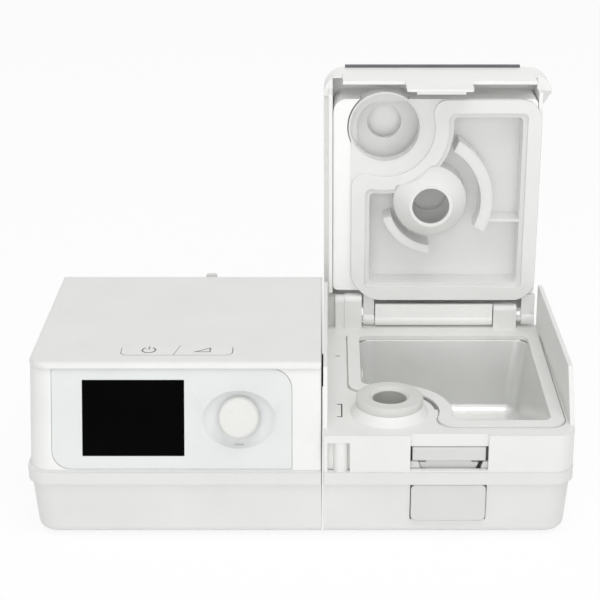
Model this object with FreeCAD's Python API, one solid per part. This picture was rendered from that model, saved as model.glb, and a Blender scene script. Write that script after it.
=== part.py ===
import FreeCAD
import Part

import os
from math import acos, atan2, copysign, cos, degrees, pi, radians, sin, sqrt, tan

from FreeCAD import Vector

# Bedside CPAP machine: a blower unit on the left, a heated humidifier docked on its right.
# Millimetres, +Z up, front towards -Y.  The origin is on the table, under the middle of the
# machine as it stands with the humidifier's lid open.  A "depth" is a distance behind the
# front plane of the belt that runs round both modules.

# ---- overall sizes ----
MAIN_WIDTH = 156.0
HUMID_WIDTH = 133.0
DOCK_GAP = 1.0
CASE_DEPTH = 157.0
MAIN_HEIGHT = 95.0
FOOT_HEIGHT = 2.0
CASE_WALL = 2.5
CORNER_R = 12.0
DOCK_CORNER_R = 1.0
CLEAR = 0.3             # air left between separate pieces
RUNNING = 0.06          # radial clearance of a turning fit

# ---- belt and base ----
BELT_LOW = 33.0
BELT_HEIGHT = 7.0
BELT_PROUD = 1.5
BASE_DRAFT = 2.0
BASE_EDGE_R = 4.5

# ---- leaning face and top of the blower unit ----
FACE_SETBACK = 3.0
FACE_LEAN = 18.0        # how far the face leans back up to the top
SIDE_INSET = 1.0
LIP_THICK = 3.5
LIP_PROUD = 1.4
TOP_EDGE_R = 3.0
REAR_EDGE_R = 14.0
FRONT_WALL = 4.5

# ---- front panel, display and dial, in face coordinates ----
PILLAR_LEFT = 14.0
PILLAR_RIGHT = 15.5
PANEL_THICK = 2.0
FACE_CUT = 30.0         # how far the openings behind the panel are cut back
PANEL_FOOT = 0.8
PANEL_CORNER_LOW = 10.0
PANEL_CORNER_HIGH = 11.0
PANEL_SHARP_R = 1.0
SCREEN_WIDTH = 53.5
SCREEN_HEIGHT = 40.1
SCREEN_LEFT = 30.2      # from the left side of the case
SCREEN_FOOT = 7.8
GLASS_THICK = 1.2
DISH_WIDTH = 38.6
DISH_HEIGHT = 30.7
DISH_X = 112.7          # from the left side of the case
DISH_UP = 27.0
DISH_DEPTH = 3.6
DISH_WALL = 1.6
DISH_FLOOR_SHARE = 0.72
DIAL_R = 10.8
DIAL_UP = 28.6
DIAL_PROUD = 7.0
DIAL_WALL = 1.8
DIAL_EDGE_R = 1.6
DIAL_TRAVEL = 0.6
DIAL_LIFT = 3.1         # how far the dial stands off its dish
SHAFT_R = 3.0
BUSH_WALL = 0.8
BUSH_PROUD = 1.2
ENCODER_SIZE = 12.4
ENCODER_DEPTH = 6.4
ROTOR_R = 5.0
ROTOR_THICK = 2.6
DRIVE_R = 1.7
LCD_THICK = 5.0
LCD_MARGIN = 2.2
BOARD_THICK = 1.6
CONTROL_LOW = 5.0
CONTROL_HEIGHT = 42.0

# ---- top keys ----
KEY_WIDTH = 29.5
KEY_LENGTH = 12.6
KEY_THICK = 2.2
KEY_DEPTH = 29.0        # depth of the keys' front edge
KEY_SPLIT = 79.0        # from the left side of the case to the split between the keys
KEY_SLANT = 1.5
KEY_GAP = 0.35
KEY_TRAVEL = 0.7
KEY_PROUD = 0.3
KEY_CORNER_R = 3.5
STEM_R = 2.0
STEM_LENGTH = 3.2
SWITCH_SIZE = 6.0
SWITCH_HEIGHT = 3.6
ACTUATOR_R = 1.7
ACTUATOR_HEIGHT = 1.2

# ---- blower ----
PORT_DEPTH = 108.0
PORT_HEIGHT = 50.5
PORT_R = 9.5
PORT_WALL = 1.6
VOLUTE_X = 85.0         # from the left side of the case
VOLUTE_R_SMALL = 30.0
VOLUTE_R_LARGE = 42.0
VOLUTE_HEIGHT = 25.0
VOLUTE_WALL = 2.0
VOLUTE_EXIT_WIDTH = 19.0
VOLUTE_EXIT_LENGTH = 45.0
INLET_R = 15.0
IMPELLER_R = 27.0
HUB_R = 7.0
BLADE_COUNT = 9
BLADE_THICK = 1.2
BLADE_HEIGHT = 14.0
BLADE_ROOT_R = 11.0
BLADE_TURN = 38.0       # degrees swept by a blade from root to tip
MOTOR_R = 17.0
MOTOR_HEIGHT = 22.0
MOTOR_SHAFT_R = 1.5
MOUNT_R = 5.0
MOUNT_RING_R = 25.0
MOUNT_HEIGHT = 12.0
DUCT_BOX_LENGTH = 14.0

# ---- air filter at the back of the blower unit ----
FILTER_X = 89.0         # from the left side of the case
FILTER_WIDTH = 42.0
FILTER_HEIGHT = 27.0
FILTER_THICK = 5.0
FILTER_FOOT = 49.0
COVER_MARGIN = 3.5
COVER_THICK = 3.0
LOUVRE_COUNT = 6
LOUVRE_HEIGHT = 2.2
TAB_WIDTH = 6.7
TAB_TOP = 92.0

# ---- main board and power inlet ----
BOARD_MARGIN = 13.0
BOARD_WIDTH = 36.0
BOARD_LENGTH = 106.0
BOARD_REAR = 10.0       # from the case's back
CAN_R = 5.0
CAN_HEIGHT = 14.0
CAN_PITCH = 14.0
CAN_ROW = 44.0          # from the board's back
COIL_SIZE = 12.0
COIL_HEIGHT = 9.0
CHIP_SIZE = 10.0
CHIP_THICK = 1.4
CHIP_PITCH = 20.0
STANDOFF_HEIGHT = 6.0
INLET_SIZE = 11.0
INLET_LENGTH = 14.0
INLET_BORE_R = 3.2
INLET_PIN_R = 1.0

# ---- feet and case screws ----
FOOT_R = 7.0
FOOT_INSET = 20.0
FOOT_SUNK = 1.2
SCREW_INSET = 14.5
SCREW_R = 1.5
SCREW_HEAD_R = 2.8
SCREW_HEAD = 2.2
BOSS_R = 3.4
SCREW_LENGTH = 44.0
HUMID_SCREW_SIDE = 12.0
HUMID_SCREW_END = 11.0
DOCK_SCREW_FRONT = 9.0  # from the dock side of the humidifier
DOCK_SCREW_BACK = 34.0  # from the dock side of the humidifier

# ---- humidifier frame ----
FRAME_FRONT = 1.0
DECK_TOP = 61.3
DECK_THICK = 2.5
DOCK_WALL = 2.3
DOCK_WALL_TOP = 92.2
DOCK_WALL_IN = 11.0     # from the case's back
FIN_WALL = 2.3
FIN_TOP = 88.4
FIN_LEAN = 30.0
FIN_IN = 7.7            # from the case's back
FIN_TAPER = 1.8         # how far the outer side leans in towards the back
FIN_REAR_R = 1.5
FRONT_WALL_HUMID = 2.5

# ---- tank ----
RIM_LEFT = 14.0         # from the dock side of the humidifier
RIM_RIGHT = 4.6         # from its outer side
RIM_FRONT = 11.0
RIM_IN = 18.0           # from the case's back
RIM_TOP = 62.2
RIM_THICK = 2.0
RIM_BAND = 7.0
RIM_CORNER_R = 9.0
RIM_GAP = 0.7
NOTCH_R = 27.0
NOTCH_CORNER_R = 9.0
TUB_WALL = 0.8
TUB_PORT_CUT = 25.0     # how far in from the rim the air inlet is cut
TUB_FLOOR = 15.6
TUB_TAPER = 6.0
TUB_EDGE_R = 6.0
TUB_CORNER_R = 8.0      # smallest upright corner
TUB_NIB_R = 7.5         # smallest corner beside the notch
TUB_FLANGE = 1.8
WELL_WALL = 1.6
WELL_GAP = 1.3
WELL_FLOOR = 12.0

# ---- air cuff ----
CUFF_X = 35.5           # from the dock side of the humidifier
CUFF_DEPTH = 30.0
CUFF_R = 18.0
CUFF_WALL = 2.4
CUFF_TOP = 71.2
CUFF_LOW = 66.5
CUFF_MOUTH_R = 9.0
CUFF_LIP = 2.0
COLLAR_R = 22.5

# ---- ducts of the humidifier ----
CHANNEL_WIDTH = 12.5
CHANNEL_LOW = 7.0
CHANNEL_HEIGHT = 31.0
CHANNEL_WALL = 1.6
HOSE_R = 11.0
HOSE_WALL = 2.0
HOSE_LENGTH = 20.0
HOSE_FLANGE_R = 12.5
HOSE_X = 15.5           # from the dock side of the humidifier
HOSE_HEIGHT = 20.5

# ---- heater ----
HEATER_INSET = 19.0
HEATER_THICK = 1.4
HEATER_ASIDE = 12.5     # from the tank's middle, away from the notch
FILM_SIZE = 48.0
FILM_THICK = 0.5
HOLDER_RIM = 6.0

# ---- latch and release button ----
BUTTON_LEFT = 46.4      # from the dock side of the humidifier
BUTTON_WIDTH = 39.6
BUTTON_LOW = 11.2
BUTTON_HEIGHT = 21.4
BUTTON_THICK = 2.6
BUTTON_FRONT = 0.6
BUTTON_CORNER_R = 3.0
BUTTON_GAP = 0.4        # air all round the button in its opening
SLOT_LOW = 41.0
SLOT_TOP = 54.0
SLOT_RECESS = 2.6
NICHE_WIDTH = 14.0
NICHE_DEPTH = 4.5
NICHE_TOP = 57.0
COLUMN_R = 4.0
BAR_HEIGHT = 8.0
BAR_THICK = 3.8
ARM_THICK = 2.4
ARM_WIDTH = 24.0
APRON_TOP = 44.0
APRON_INSET = 4.0       # at its top, from the button's sides
APRON_SLANT = 1.5

# ---- lid ----
HINGE_IN = 7.0          # from the case's back
HINGE_HEIGHT = 66.2
LID_TOP = 95.0
LID_WALL = 2.3
LID_SKIN = 2.5
LID_FRONT = 1.6
LID_SIDE_LOW = 62.6
LID_CORNER_LOW = 77.0
LID_CORNER_WIDTH = 11.0
LID_EDGE_R = 5.5
LID_EAVE = 3.0          # how far the top reaches past the right wall
LID_EAVE_LOW = 89.0
LID_EAVE_R = 0.4
CHEEK_FOOT = 11.5       # depth of the right cheek's back, below and above
CHEEK_HEAD = 26.0
LID_REAR_LOW = 70.0
TAB_LOW = 42.0
TAB_CORNER_R = 2.0
TAB_THICK = 1.7
CATCH_HEIGHT = 2.0
CATCH_DEPTH = 1.6
TRIM_LEFT = 12.5        # from the dock side of the humidifier
TRIM_WIDTH = 103.0
TRIM_LENGTH = 9.0
TRIM_THICK = 1.6
TRIM_FRONT = 0.1
TRIM_PROUD = 0.5
LID_SWING = 90.0

# ---- inside of the lid ----
PLATE_LOW = 64.2
PLATE_THICK = 1.5
PLATE_INSET = 2.0
PLATE_SIDE_R = 14.0
PLATE_CORNER_R = 20.0
GASKET_THICK = 1.6
GASKET_WIDTH = 8.0
PAN_INSET = 13.0        # from the rim's outline to the inside of the recess
PAN_ROOF = 79.7
RIB_DEPTH = 86.7
RIB_THICK = 1.5
NOZZLE_X = 62.4         # from the dock side of the humidifier
NOZZLE_DEPTH = 74.2
NOZZLE_HOLE_R = 10.75
NOZZLE_R = 21.5
NOZZLE_TIP_R = 12.6
NOZZLE_DROP = 11.0
NOZZLE_WALL = 1.5
NOZZLE_CLEAR = 1.3      # between the nozzle's flank and the tank's rim
CHAMBER_LEFT = 19.6     # from the dock side of the humidifier
CHAMBER_FRONT = 16.8
CHAMBER_SPAN = 40.5
CHAMBER_R = 28.0        # about the cuff
CHAMBER_CORNER_R = 14.0
CHAMBER_MOUTH_GAP = 2.0     # between the cuff and the chamber's mouth
CHAMBER_STEP = 72.5     # height at which the mouth widens into the chamber
CHAMBER_WALL = 1.2
CHAMBER_HOLE_R = 10.0
CHANNEL_ROOF = 89.0
VANE_LOW = 62.6
VANE_WALL = 1.2
RIGHT_VANE = (-66.0, 31.0, 36.5, 33.7, 34.0, 7.0)   # start, end, three radii and width
LEFT_VANE = (90.0, 158.0, 30.0, 28.3, 27.0, 5.0)
LID_POST_R = 2.2
LINER_FRONT_IN = 2.5    # from the rim's front
LINER_BACK_IN = 7.5     # from the rim's back
LINER_CORNER_R = 8.0
LINER_SMALL_R = 3.0
LINER_WALL = 1.0
LINER_POST_PITCH = 55.0

# ---- hinge ----
PIN_R = 1.75
KNUCKLE_R = 4.2
TOWER_LEFT = (12.4, 22.8, 82.0)     # left, right (from the dock side) and top of the tower
TOWER_RIGHT = (102.4, 116.3, 76.0)
TOWER_LENGTH = 9.0
BLOCK_LEFT = 6.9                    # block beside the left tower, from the dock side
BLOCK_BACK = 0.6
SHIELD_FRONT_IN = 6.5               # upright behind the block, from the case's back
SHIELD_TOP = 80.0
LEDGE_TOP = 65.6                    # raised edge behind the right tower
LEDGE_THICK = 1.4
ARM_LEFT = (23.9, 30.4)             # the inner plate's two hinge arms
ARM_RIGHT = (119.4, 127.2)
BARREL = (31.0, 101.8)              # the lid shell's own hinge barrel
RELIEF_GAP = 1.2                    # round the towers, in the lid
BAND_FRONT_IN = 0.6                 # flat in front of the barrel, from the rim's back
BAND_LOW = 62.4
BAND_THICK = 1.8

# ---- worked out from the sizes above ----
TOTAL_WIDTH = MAIN_WIDTH + DOCK_GAP + HUMID_WIDTH
MAIN_LEFT = -TOTAL_WIDTH / 2
MAIN_RIGHT = MAIN_LEFT + MAIN_WIDTH
HUMID_LEFT = MAIN_RIGHT + DOCK_GAP
HUMID_RIGHT = TOTAL_WIDTH / 2
HINGE_DEPTH = CASE_DEPTH - HINGE_IN
RIM_BACK = CASE_DEPTH - RIM_IN
DOCK_WALL_REAR = CASE_DEPTH - DOCK_WALL_IN
FIN_REAR = CASE_DEPTH - FIN_IN
FRONT_Y = -(HINGE_DEPTH + LID_TOP + TRIM_PROUD - HINGE_HEIGHT) / 2
BELT_TOP = BELT_LOW + BELT_HEIGHT
FACE_RISE = MAIN_HEIGHT - BELT_TOP
FACE_ANGLE = atan2(FACE_LEAN, FACE_RISE)
LIP_LOW = MAIN_HEIGHT - LIP_THICK
PANEL_LEFT = MAIN_LEFT + PILLAR_LEFT
PANEL_RIGHT = MAIN_RIGHT - PILLAR_RIGHT
PANEL_TOP = (LIP_LOW - BELT_TOP) / cos(FACE_ANGLE) - CLEAR
SCREEN_X = MAIN_LEFT + SCREEN_LEFT
DIAL_X = MAIN_LEFT + DISH_X
DISH_BACK = DISH_DEPTH + DISH_WALL
BOARD_IN = DISH_BACK + ENCODER_DEPTH + CLEAR
FLOOR = FOOT_HEIGHT + CASE_WALL
BOARD_TOP = FLOOR + STANDOFF_HEIGHT + BOARD_THICK
INLET_HEIGHT = BOARD_TOP + INLET_SIZE / 2
VOLUTE_CX = MAIN_LEFT + VOLUTE_X
VOLUTE_DEPTH = PORT_DEPTH - VOLUTE_R_LARGE + VOLUTE_EXIT_WIDTH / 2
VOLUTE_LOW = PORT_HEIGHT - VOLUTE_HEIGHT / 2
RIM_X0 = HUMID_LEFT + RIM_LEFT
RIM_X1 = HUMID_RIGHT - RIM_RIGHT
CUFF_CX = HUMID_LEFT + CUFF_X
NOZZLE_CX = HUMID_LEFT + NOZZLE_X
RIM_LOW = RIM_TOP - RIM_THICK
WELL_INSET = RIM_BAND - TUB_WALL - WELL_GAP
PLATE_TOP = PLATE_LOW + PLATE_THICK
LID_LEFT = HUMID_LEFT + DOCK_WALL + 2 * CLEAR
LID_RIGHT = RIM_X1 - PLATE_INSET
LID_FRONT_LOW = DECK_TOP + CLEAR
BUTTON_X0 = HUMID_LEFT + BUTTON_LEFT
BUTTON_X1 = BUTTON_X0 + BUTTON_WIDTH
BAR_DEPTH = FRAME_FRONT + FRONT_WALL_HUMID + CLEAR


# ---- drawing helpers ----
def y_at(depth):
    """Y of a place this deep behind the belt's front plane."""
    return FRONT_Y + depth


def outline(points, radii, lift):
    """Closed wire through 2-D points with rounded corners; lift turns (a, b) into a point."""
    corners = [Vector(a, b, 0) for a, b in points]
    spans = []
    for i, corner in enumerate(corners):
        back = (corners[i - 1] - corner).normalize()
        ahead = (corners[(i + 1) % len(corners)] - corner).normalize()
        half = back.getAngle(ahead) / 2
        radius = radii[i]
        middle = (back + ahead).normalize() * (radius / sin(half) - radius)
        cut = radius / tan(half)
        spans.append((corner + back * cut, corner + middle, corner + ahead * cut))
    edges = []
    for i, (start, middle, end) in enumerate(spans):
        if radii[i] > 0:
            ends = [lift(p.x, p.y) for p in (start, middle, end)]
            edges.append(Part.Arc(*ends).toShape())
        following = spans[(i + 1) % len(spans)][0]
        if (following - end).Length > 1e-6:
            edges.append(Part.LineSegment(lift(end.x, end.y), lift(following.x, following.y)).toShape())
    return Part.Wire(edges)


def plan_wire(points, radii, z):
    """Outline in plan: points are (x, depth)."""
    return outline(points, radii, lambda a, b: Vector(a, y_at(b), z))


def plan_prism(points, radii, z0, z1):
    return Part.Face(plan_wire(points, radii, z0)).extrude(Vector(0, 0, z1 - z0))


def side_prism(points, radii, x0, x1):
    """Side-view outline, (depth, height), drawn out along X."""
    wire = outline(points, radii, lambda a, b: Vector(x0, y_at(a), b))
    return Part.Face(wire).extrude(Vector(x1 - x0, 0, 0))


def front_prism(points, radii, depth0, depth1):
    """Front-view outline, (x, height), drawn back along Y."""
    wire = outline(points, radii, lambda a, b: Vector(a, y_at(depth0), b))
    return Part.Face(wire).extrude(Vector(0, depth1 - depth0, 0))


def rectangle(a0, a1, b0, b1):
    return [(a0, b0), (a1, b0), (a1, b1), (a0, b1)]


def box(x0, x1, depth0, depth1, z0, z1):
    return Part.makeBox(x1 - x0, depth1 - depth0, z1 - z0, Vector(x0, y_at(depth0), z0))


def post(x, depth, z0, z1, radius):
    return Part.makeCylinder(radius, z1 - z0, Vector(x, y_at(depth), z0))


def taper(x, depth, z0, z1, r0, r1):
    return Part.makeCone(r0, r1, z1 - z0, Vector(x, y_at(depth), z0))


def bar_x(x0, x1, depth, z, radius):
    return Part.makeCylinder(radius, x1 - x0, Vector(x0, y_at(depth), z), Vector(1, 0, 0))


def bar_y(x, depth0, depth1, z, radius):
    return Part.makeCylinder(radius, depth1 - depth0, Vector(x, y_at(depth0), z), Vector(0, 1, 0))


def brick(x0, x1, y0, y1, z0, z1):
    """Box in face coordinates: x, distance into the case, height up the face."""
    return Part.makeBox(x1 - x0, y1 - y0, z1 - z0, Vector(x0, y0, z0))


def face_rod(x, up, y0, y1, radius):
    """Cylinder along the face's normal, in face coordinates."""
    return Part.makeCylinder(radius, y1 - y0, Vector(x, y0, up), Vector(0, 1, 0))


def face_prism(points, radii, y0, y1):
    wire = outline(points, radii, lambda a, b: Vector(a, y0, b))
    return Part.Face(wire).extrude(Vector(0, y1 - y0, 0))


def on_face(shape):
    """Seat a shape drawn in face coordinates on the leaning face."""
    placed = shape.copy()
    placed.rotate(Vector(0, 0, 0), Vector(1, 0, 0), -degrees(FACE_ANGLE))
    placed.translate(Vector(0, y_at(FACE_SETBACK), BELT_TOP))
    return placed


def fused(shapes):
    whole = shapes[0]
    if len(shapes) > 1:
        whole = whole.fuse(shapes[1:])
    return whole.removeSplitter()


def strip(near, far, height):
    """Upright strip between two three-point arcs drawn in one plane."""
    edges = [Part.Arc(*near).toShape(), Part.LineSegment(near[-1], far[-1]).toShape(),
             Part.Arc(*far).toShape(), Part.LineSegment(far[0], near[0]).toShape()]
    return Part.Face(Part.Wire(edges)).extrude(Vector(0, 0, height))


def one_solid(shape):
    """The single solid of a boolean's result."""
    return shape.Solids[0] if len(shape.Solids) == 1 else shape


def save(name, shape):
    one_solid(shape).exportStep(f"parts/{name}.step")


# ---- shared case forms ----
def module_plan(x_outer, x_dock, inset, front):
    """Outline of a module, drawn in by inset on every side but the dock's."""
    outer = x_outer + copysign(inset, x_dock - x_outer)
    points = [(outer, front), (x_dock, front), (x_dock, CASE_DEPTH - inset), (outer, CASE_DEPTH - inset)]
    return points, [CORNER_R, DOCK_CORNER_R, DOCK_CORNER_R, CORNER_R]


def base_block(x_outer, x_dock, wall):
    """Drafted base with a rounded underside, drawn in by a wall for its cavity."""
    foot = BELT_PROUD + BASE_DRAFT + wall
    neck = BELT_PROUD + wall
    dock = x_dock - copysign(wall, x_dock - x_outer)
    past_dock = x_dock + copysign(10, x_dock - x_outer)
    low = FOOT_HEIGHT + wall
    sections = []
    for inset, z in ((foot, low), (neck, BELT_LOW)):
        points, _ = module_plan(x_outer, past_dock, inset, inset)
        sections.append(plan_wire(points, [CORNER_R - wall, 0, 0, CORNER_R - wall], z))
    body = Part.makeLoft(sections, True, True)
    rounded = [e for e in body.Edges
               if e.BoundBox.ZMax < low + 0.01 and abs(e.CenterOfMass.x - past_dock) > 0.01]
    body = body.makeFillet(BASE_EDGE_R - wall, rounded)
    points, radii = module_plan(x_outer, dock, 0, 0)
    return body.common(plan_prism(points, radii, FOOT_HEIGHT, BELT_LOW))


def base_tray(x_outer, x_dock):
    """Lower case: base, proud belt and open top."""
    points, radii = module_plan(x_outer, x_dock, 0, 0)
    belt = plan_prism(points, radii, BELT_LOW, BELT_TOP)
    neck = BELT_PROUD + CASE_WALL
    dock = x_dock - copysign(CASE_WALL, x_dock - x_outer)
    inner, _ = module_plan(x_outer, dock, neck, neck)
    inner_r = [CORNER_R - CASE_WALL, DOCK_CORNER_R, DOCK_CORNER_R, CORNER_R - CASE_WALL]
    tray = base_block(x_outer, x_dock, 0).fuse(belt)
    hollow = base_block(x_outer, x_dock, CASE_WALL)
    return tray.cut([hollow, plan_prism(inner, inner_r, BELT_LOW, BELT_TOP)])


def screw_places(x_outer):
    """Four places for case screws near a module's corners, clear of what is inside."""
    if x_outer == MAIN_LEFT:
        return [(x, d) for x in (MAIN_LEFT + SCREW_INSET, MAIN_RIGHT - SCREW_INSET)
                for d in (SCREW_INSET, CASE_DEPTH - SCREW_INSET)]
    right = HUMID_RIGHT - HUMID_SCREW_SIDE
    front, back = HUMID_SCREW_END, CASE_DEPTH - HUMID_SCREW_END
    return [(HUMID_LEFT + DOCK_SCREW_FRONT, front), (HUMID_LEFT + DOCK_SCREW_BACK, back),
            (right, front), (right, back)]


def foot_places(x_outer, x_dock):
    low, high = sorted((x_outer, x_dock))
    return [(x, d) for x in (low + FOOT_INSET, high - FOOT_INSET)
            for d in (FOOT_INSET * 1.6, CASE_DEPTH - FOOT_INSET * 1.6)]


def fitted_base(x_outer, x_dock):
    """Lower case with screw pillars, counterbored screw holes and sunk seats for the feet."""
    tray = base_tray(x_outer, x_dock)
    pillars = [post(x, d, FLOOR, BELT_TOP - CLEAR, BOSS_R) for x, d in screw_places(x_outer)]
    holes = [post(x, d, FOOT_HEIGHT, BELT_TOP, SCREW_R + CLEAR) for x, d in screw_places(x_outer)]
    sinks = [post(x, d, FOOT_HEIGHT - 1, FOOT_HEIGHT + SCREW_HEAD, SCREW_HEAD_R + CLEAR)
             for x, d in screw_places(x_outer)]
    seats = [post(x, d, FOOT_HEIGHT - 1, FOOT_HEIGHT + FOOT_SUNK, FOOT_R)
             for x, d in foot_places(x_outer, x_dock)]
    return tray.fuse(pillars).cut(holes + sinks + seats)


def rubber_feet(x_outer, x_dock):
    return Part.makeCompound([post(x, d, 0, FOOT_HEIGHT + FOOT_SUNK, FOOT_R)
                              for x, d in foot_places(x_outer, x_dock)])


def case_screws(x_outer):
    screws = []
    for x, d in screw_places(x_outer):
        head = post(x, d, FOOT_HEIGHT + CLEAR, FOOT_HEIGHT + SCREW_HEAD, SCREW_HEAD_R)
        screws.append(head.fuse(post(x, d, FOOT_HEIGHT + SCREW_HEAD, SCREW_LENGTH, SCREW_R)))
    return Part.makeCompound(screws)


# ---- blower unit: cases ----
def upper_block(wall, front_wall):
    """Outer form of the upper case, or its cavity when the walls are given."""
    dock = MAIN_RIGHT - wall
    lean_out = front_wall / cos(FACE_ANGLE)
    radii = [CORNER_R - wall, DOCK_CORNER_R, DOCK_CORNER_R, CORNER_R - wall]
    sections = []
    for z in (BELT_TOP, MAIN_HEIGHT):
        front = FACE_SETBACK + FACE_LEAN * (z - BELT_TOP) / FACE_RISE + lean_out
        points, _ = module_plan(MAIN_LEFT, dock, SIDE_INSET + wall, front)
        sections.append(plan_wire(points, radii, z))
    body = Part.makeLoft(sections, True, True)
    if not wall:
        lip, _ = module_plan(MAIN_LEFT, dock, SIDE_INSET, lip_front())
        body = body.fuse(plan_prism(lip, radii, LIP_LOW, MAIN_HEIGHT))
    top = MAIN_HEIGHT - wall
    rear = CASE_DEPTH - SIDE_INSET - wall
    side = [(0, BELT_TOP), (rear, BELT_TOP), (rear, top), (0, top)]
    body = body.common(side_prism(side, [0, 0, REAR_EDGE_R - wall, 0], MAIN_LEFT, MAIN_RIGHT))
    left = MAIN_LEFT + SIDE_INSET + wall
    front = [(left, BELT_TOP), (dock, BELT_TOP), (dock, top), (left, top)]
    edge = [0, 0, DOCK_CORNER_R, max(TOP_EDGE_R - wall, 0.5)]
    return body.common(front_prism(front, edge, 0, CASE_DEPTH))


def lip_front():
    """Depth of the lip's front edge, just proud of the leaning face."""
    return FACE_SETBACK + FACE_LEAN * (LIP_LOW - BELT_TOP) / FACE_RISE - LIP_PROUD


def lip_rounding():
    """Stock in front of the lip's rounded top edge."""
    front, radius = lip_front(), LIP_THICK - 0.3
    corner = box(MAIN_LEFT, MAIN_RIGHT, front - 1, front + radius, MAIN_HEIGHT - radius, MAIN_HEIGHT + 1)
    return corner.cut(bar_x(MAIN_LEFT, MAIN_RIGHT, front + radius, MAIN_HEIGHT - radius, radius))


def panel_points(gap):
    return rectangle(PANEL_LEFT - gap, PANEL_RIGHT + gap, PANEL_FOOT - gap, PANEL_TOP + gap)


def panel_radii():
    return [PANEL_CORNER_LOW, PANEL_SHARP_R, PANEL_CORNER_HIGH, PANEL_SHARP_R]


def oval(share, extra, y):
    """Oval of the dial's dish, scaled about its middle, in face coordinates."""
    wide = DISH_WIDTH / 2 * share + extra
    high = DISH_HEIGHT / 2 * share + extra
    curve = Part.Ellipse(Vector(DIAL_X, y, DISH_UP), wide, high)
    curve.Axis = Vector(0, -1, 0)
    curve.AngleXU = 0
    return Part.Wire([curve.toShape()])


def dish_form(extra, depth):
    """Tapered oval bowl down to this depth, grown by extra."""
    return Part.makeLoft([oval(1, extra, 0), oval(DISH_FLOOR_SHARE, extra, depth)], True, True)


def front_cutouts():
    """Pocket for the front panel and the windows behind it, in the leaning face."""
    pocket = face_prism(panel_points(CLEAR / 2), panel_radii(), -5, PANEL_THICK)
    window = brick(SCREEN_X - LCD_MARGIN - CLEAR, SCREEN_X + SCREEN_WIDTH + LCD_MARGIN + CLEAR, 0, FACE_CUT,
                   SCREEN_FOOT - LCD_MARGIN - CLEAR, SCREEN_FOOT + SCREEN_HEIGHT + LCD_MARGIN + CLEAR)
    dish = Part.makeLoft([oval(1, DISH_WALL + CLEAR, 0), oval(1, DISH_WALL + CLEAR, FACE_CUT)], True, True)
    return [on_face(shape) for shape in (pocket, window, dish)]


def key_well():
    """Opening in the top for both keys."""
    x0 = MAIN_LEFT + KEY_SPLIT - KEY_WIDTH - KEY_GAP
    x1 = MAIN_LEFT + KEY_SPLIT + KEY_WIDTH + KEY_GAP
    points = rectangle(x0, x1, KEY_DEPTH - KEY_GAP, KEY_DEPTH + KEY_LENGTH + KEY_GAP)
    radius = KEY_CORNER_R + KEY_GAP
    return plan_prism(points, [radius] * 4, MAIN_HEIGHT - 10, MAIN_HEIGHT + 1)


def main_upper_case():
    shell = upper_block(0, 0).cut([upper_block(CASE_WALL, FRONT_WALL), lip_rounding()])
    bosses = [post(x, d, BELT_TOP, MAIN_HEIGHT - CASE_WALL / 2, BOSS_R)
              for x, d in screw_places(MAIN_LEFT)]
    ties = [post(x, key_board_depth(), key_board_top(), MAIN_HEIGHT - CASE_WALL / 2, 2.2)
            for x in key_board_ties()]
    bosses = fused(bosses).common(upper_block(CASE_WALL / 2, CASE_WALL))
    shell = shell.fuse([bosses] + ties)
    holes = [post(x, d, BELT_TOP - 1, SCREW_LENGTH + 1, SCREW_R) for x, d in screw_places(MAIN_LEFT)]
    port = bar_x(MAIN_RIGHT - 10, MAIN_RIGHT + 1, PORT_DEPTH, PORT_HEIGHT, PORT_R + CLEAR)
    filter_x = MAIN_LEFT + FILTER_X
    intake = box(filter_x - FILTER_WIDTH / 2 - CLEAR, filter_x + FILTER_WIDTH / 2 + CLEAR,
                 CASE_DEPTH - 12, CASE_DEPTH + 1, FILTER_FOOT - CLEAR, FILTER_FOOT + FILTER_HEIGHT + CLEAR)
    return shell.cut(holes + [port, intake, key_well()] + front_cutouts())


def main_lower_case():
    base = fitted_base(MAIN_LEFT, MAIN_RIGHT)
    mounts = [post(x, d, FLOOR, mount_low(), MOUNT_R) for x, d in mount_places()]
    standoffs = [post(x, d, FLOOR, FLOOR + STANDOFF_HEIGHT, 2.5) for x, d in board_corners()]
    half = INLET_SIZE / 2 + CLEAR
    inlet = box(inlet_x() - half, inlet_x() + half, CASE_DEPTH - 9, CASE_DEPTH + 1,
                INLET_HEIGHT - half, INLET_HEIGHT + half)
    return base.fuse(mounts + standoffs).cut([inlet])


# ---- blower unit: front panel, display and dial ----
def front_panel():
    plate = face_prism(panel_points(0), panel_radii(), 0, PANEL_THICK)
    shell = dish_form(DISH_WALL, DISH_BACK)
    plate = plate.fuse(shell).cut(dish_form(0, DISH_DEPTH))
    screen = brick(SCREEN_X - CLEAR / 2, SCREEN_X + SCREEN_WIDTH + CLEAR / 2, -1, PANEL_THICK + 1,
                   SCREEN_FOOT - CLEAR / 2, SCREEN_FOOT + SCREEN_HEIGHT + CLEAR / 2)
    bush = face_rod(DIAL_X, DIAL_UP, 0, DISH_BACK + 1, SHAFT_R + BUSH_WALL + RUNNING + CLEAR)
    return on_face(plate.cut([screen, bush]))


def display_glass():
    return on_face(brick(SCREEN_X, SCREEN_X + SCREEN_WIDTH, 0.1, GLASS_THICK,
                         SCREEN_FOOT, SCREEN_FOOT + SCREEN_HEIGHT))


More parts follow.
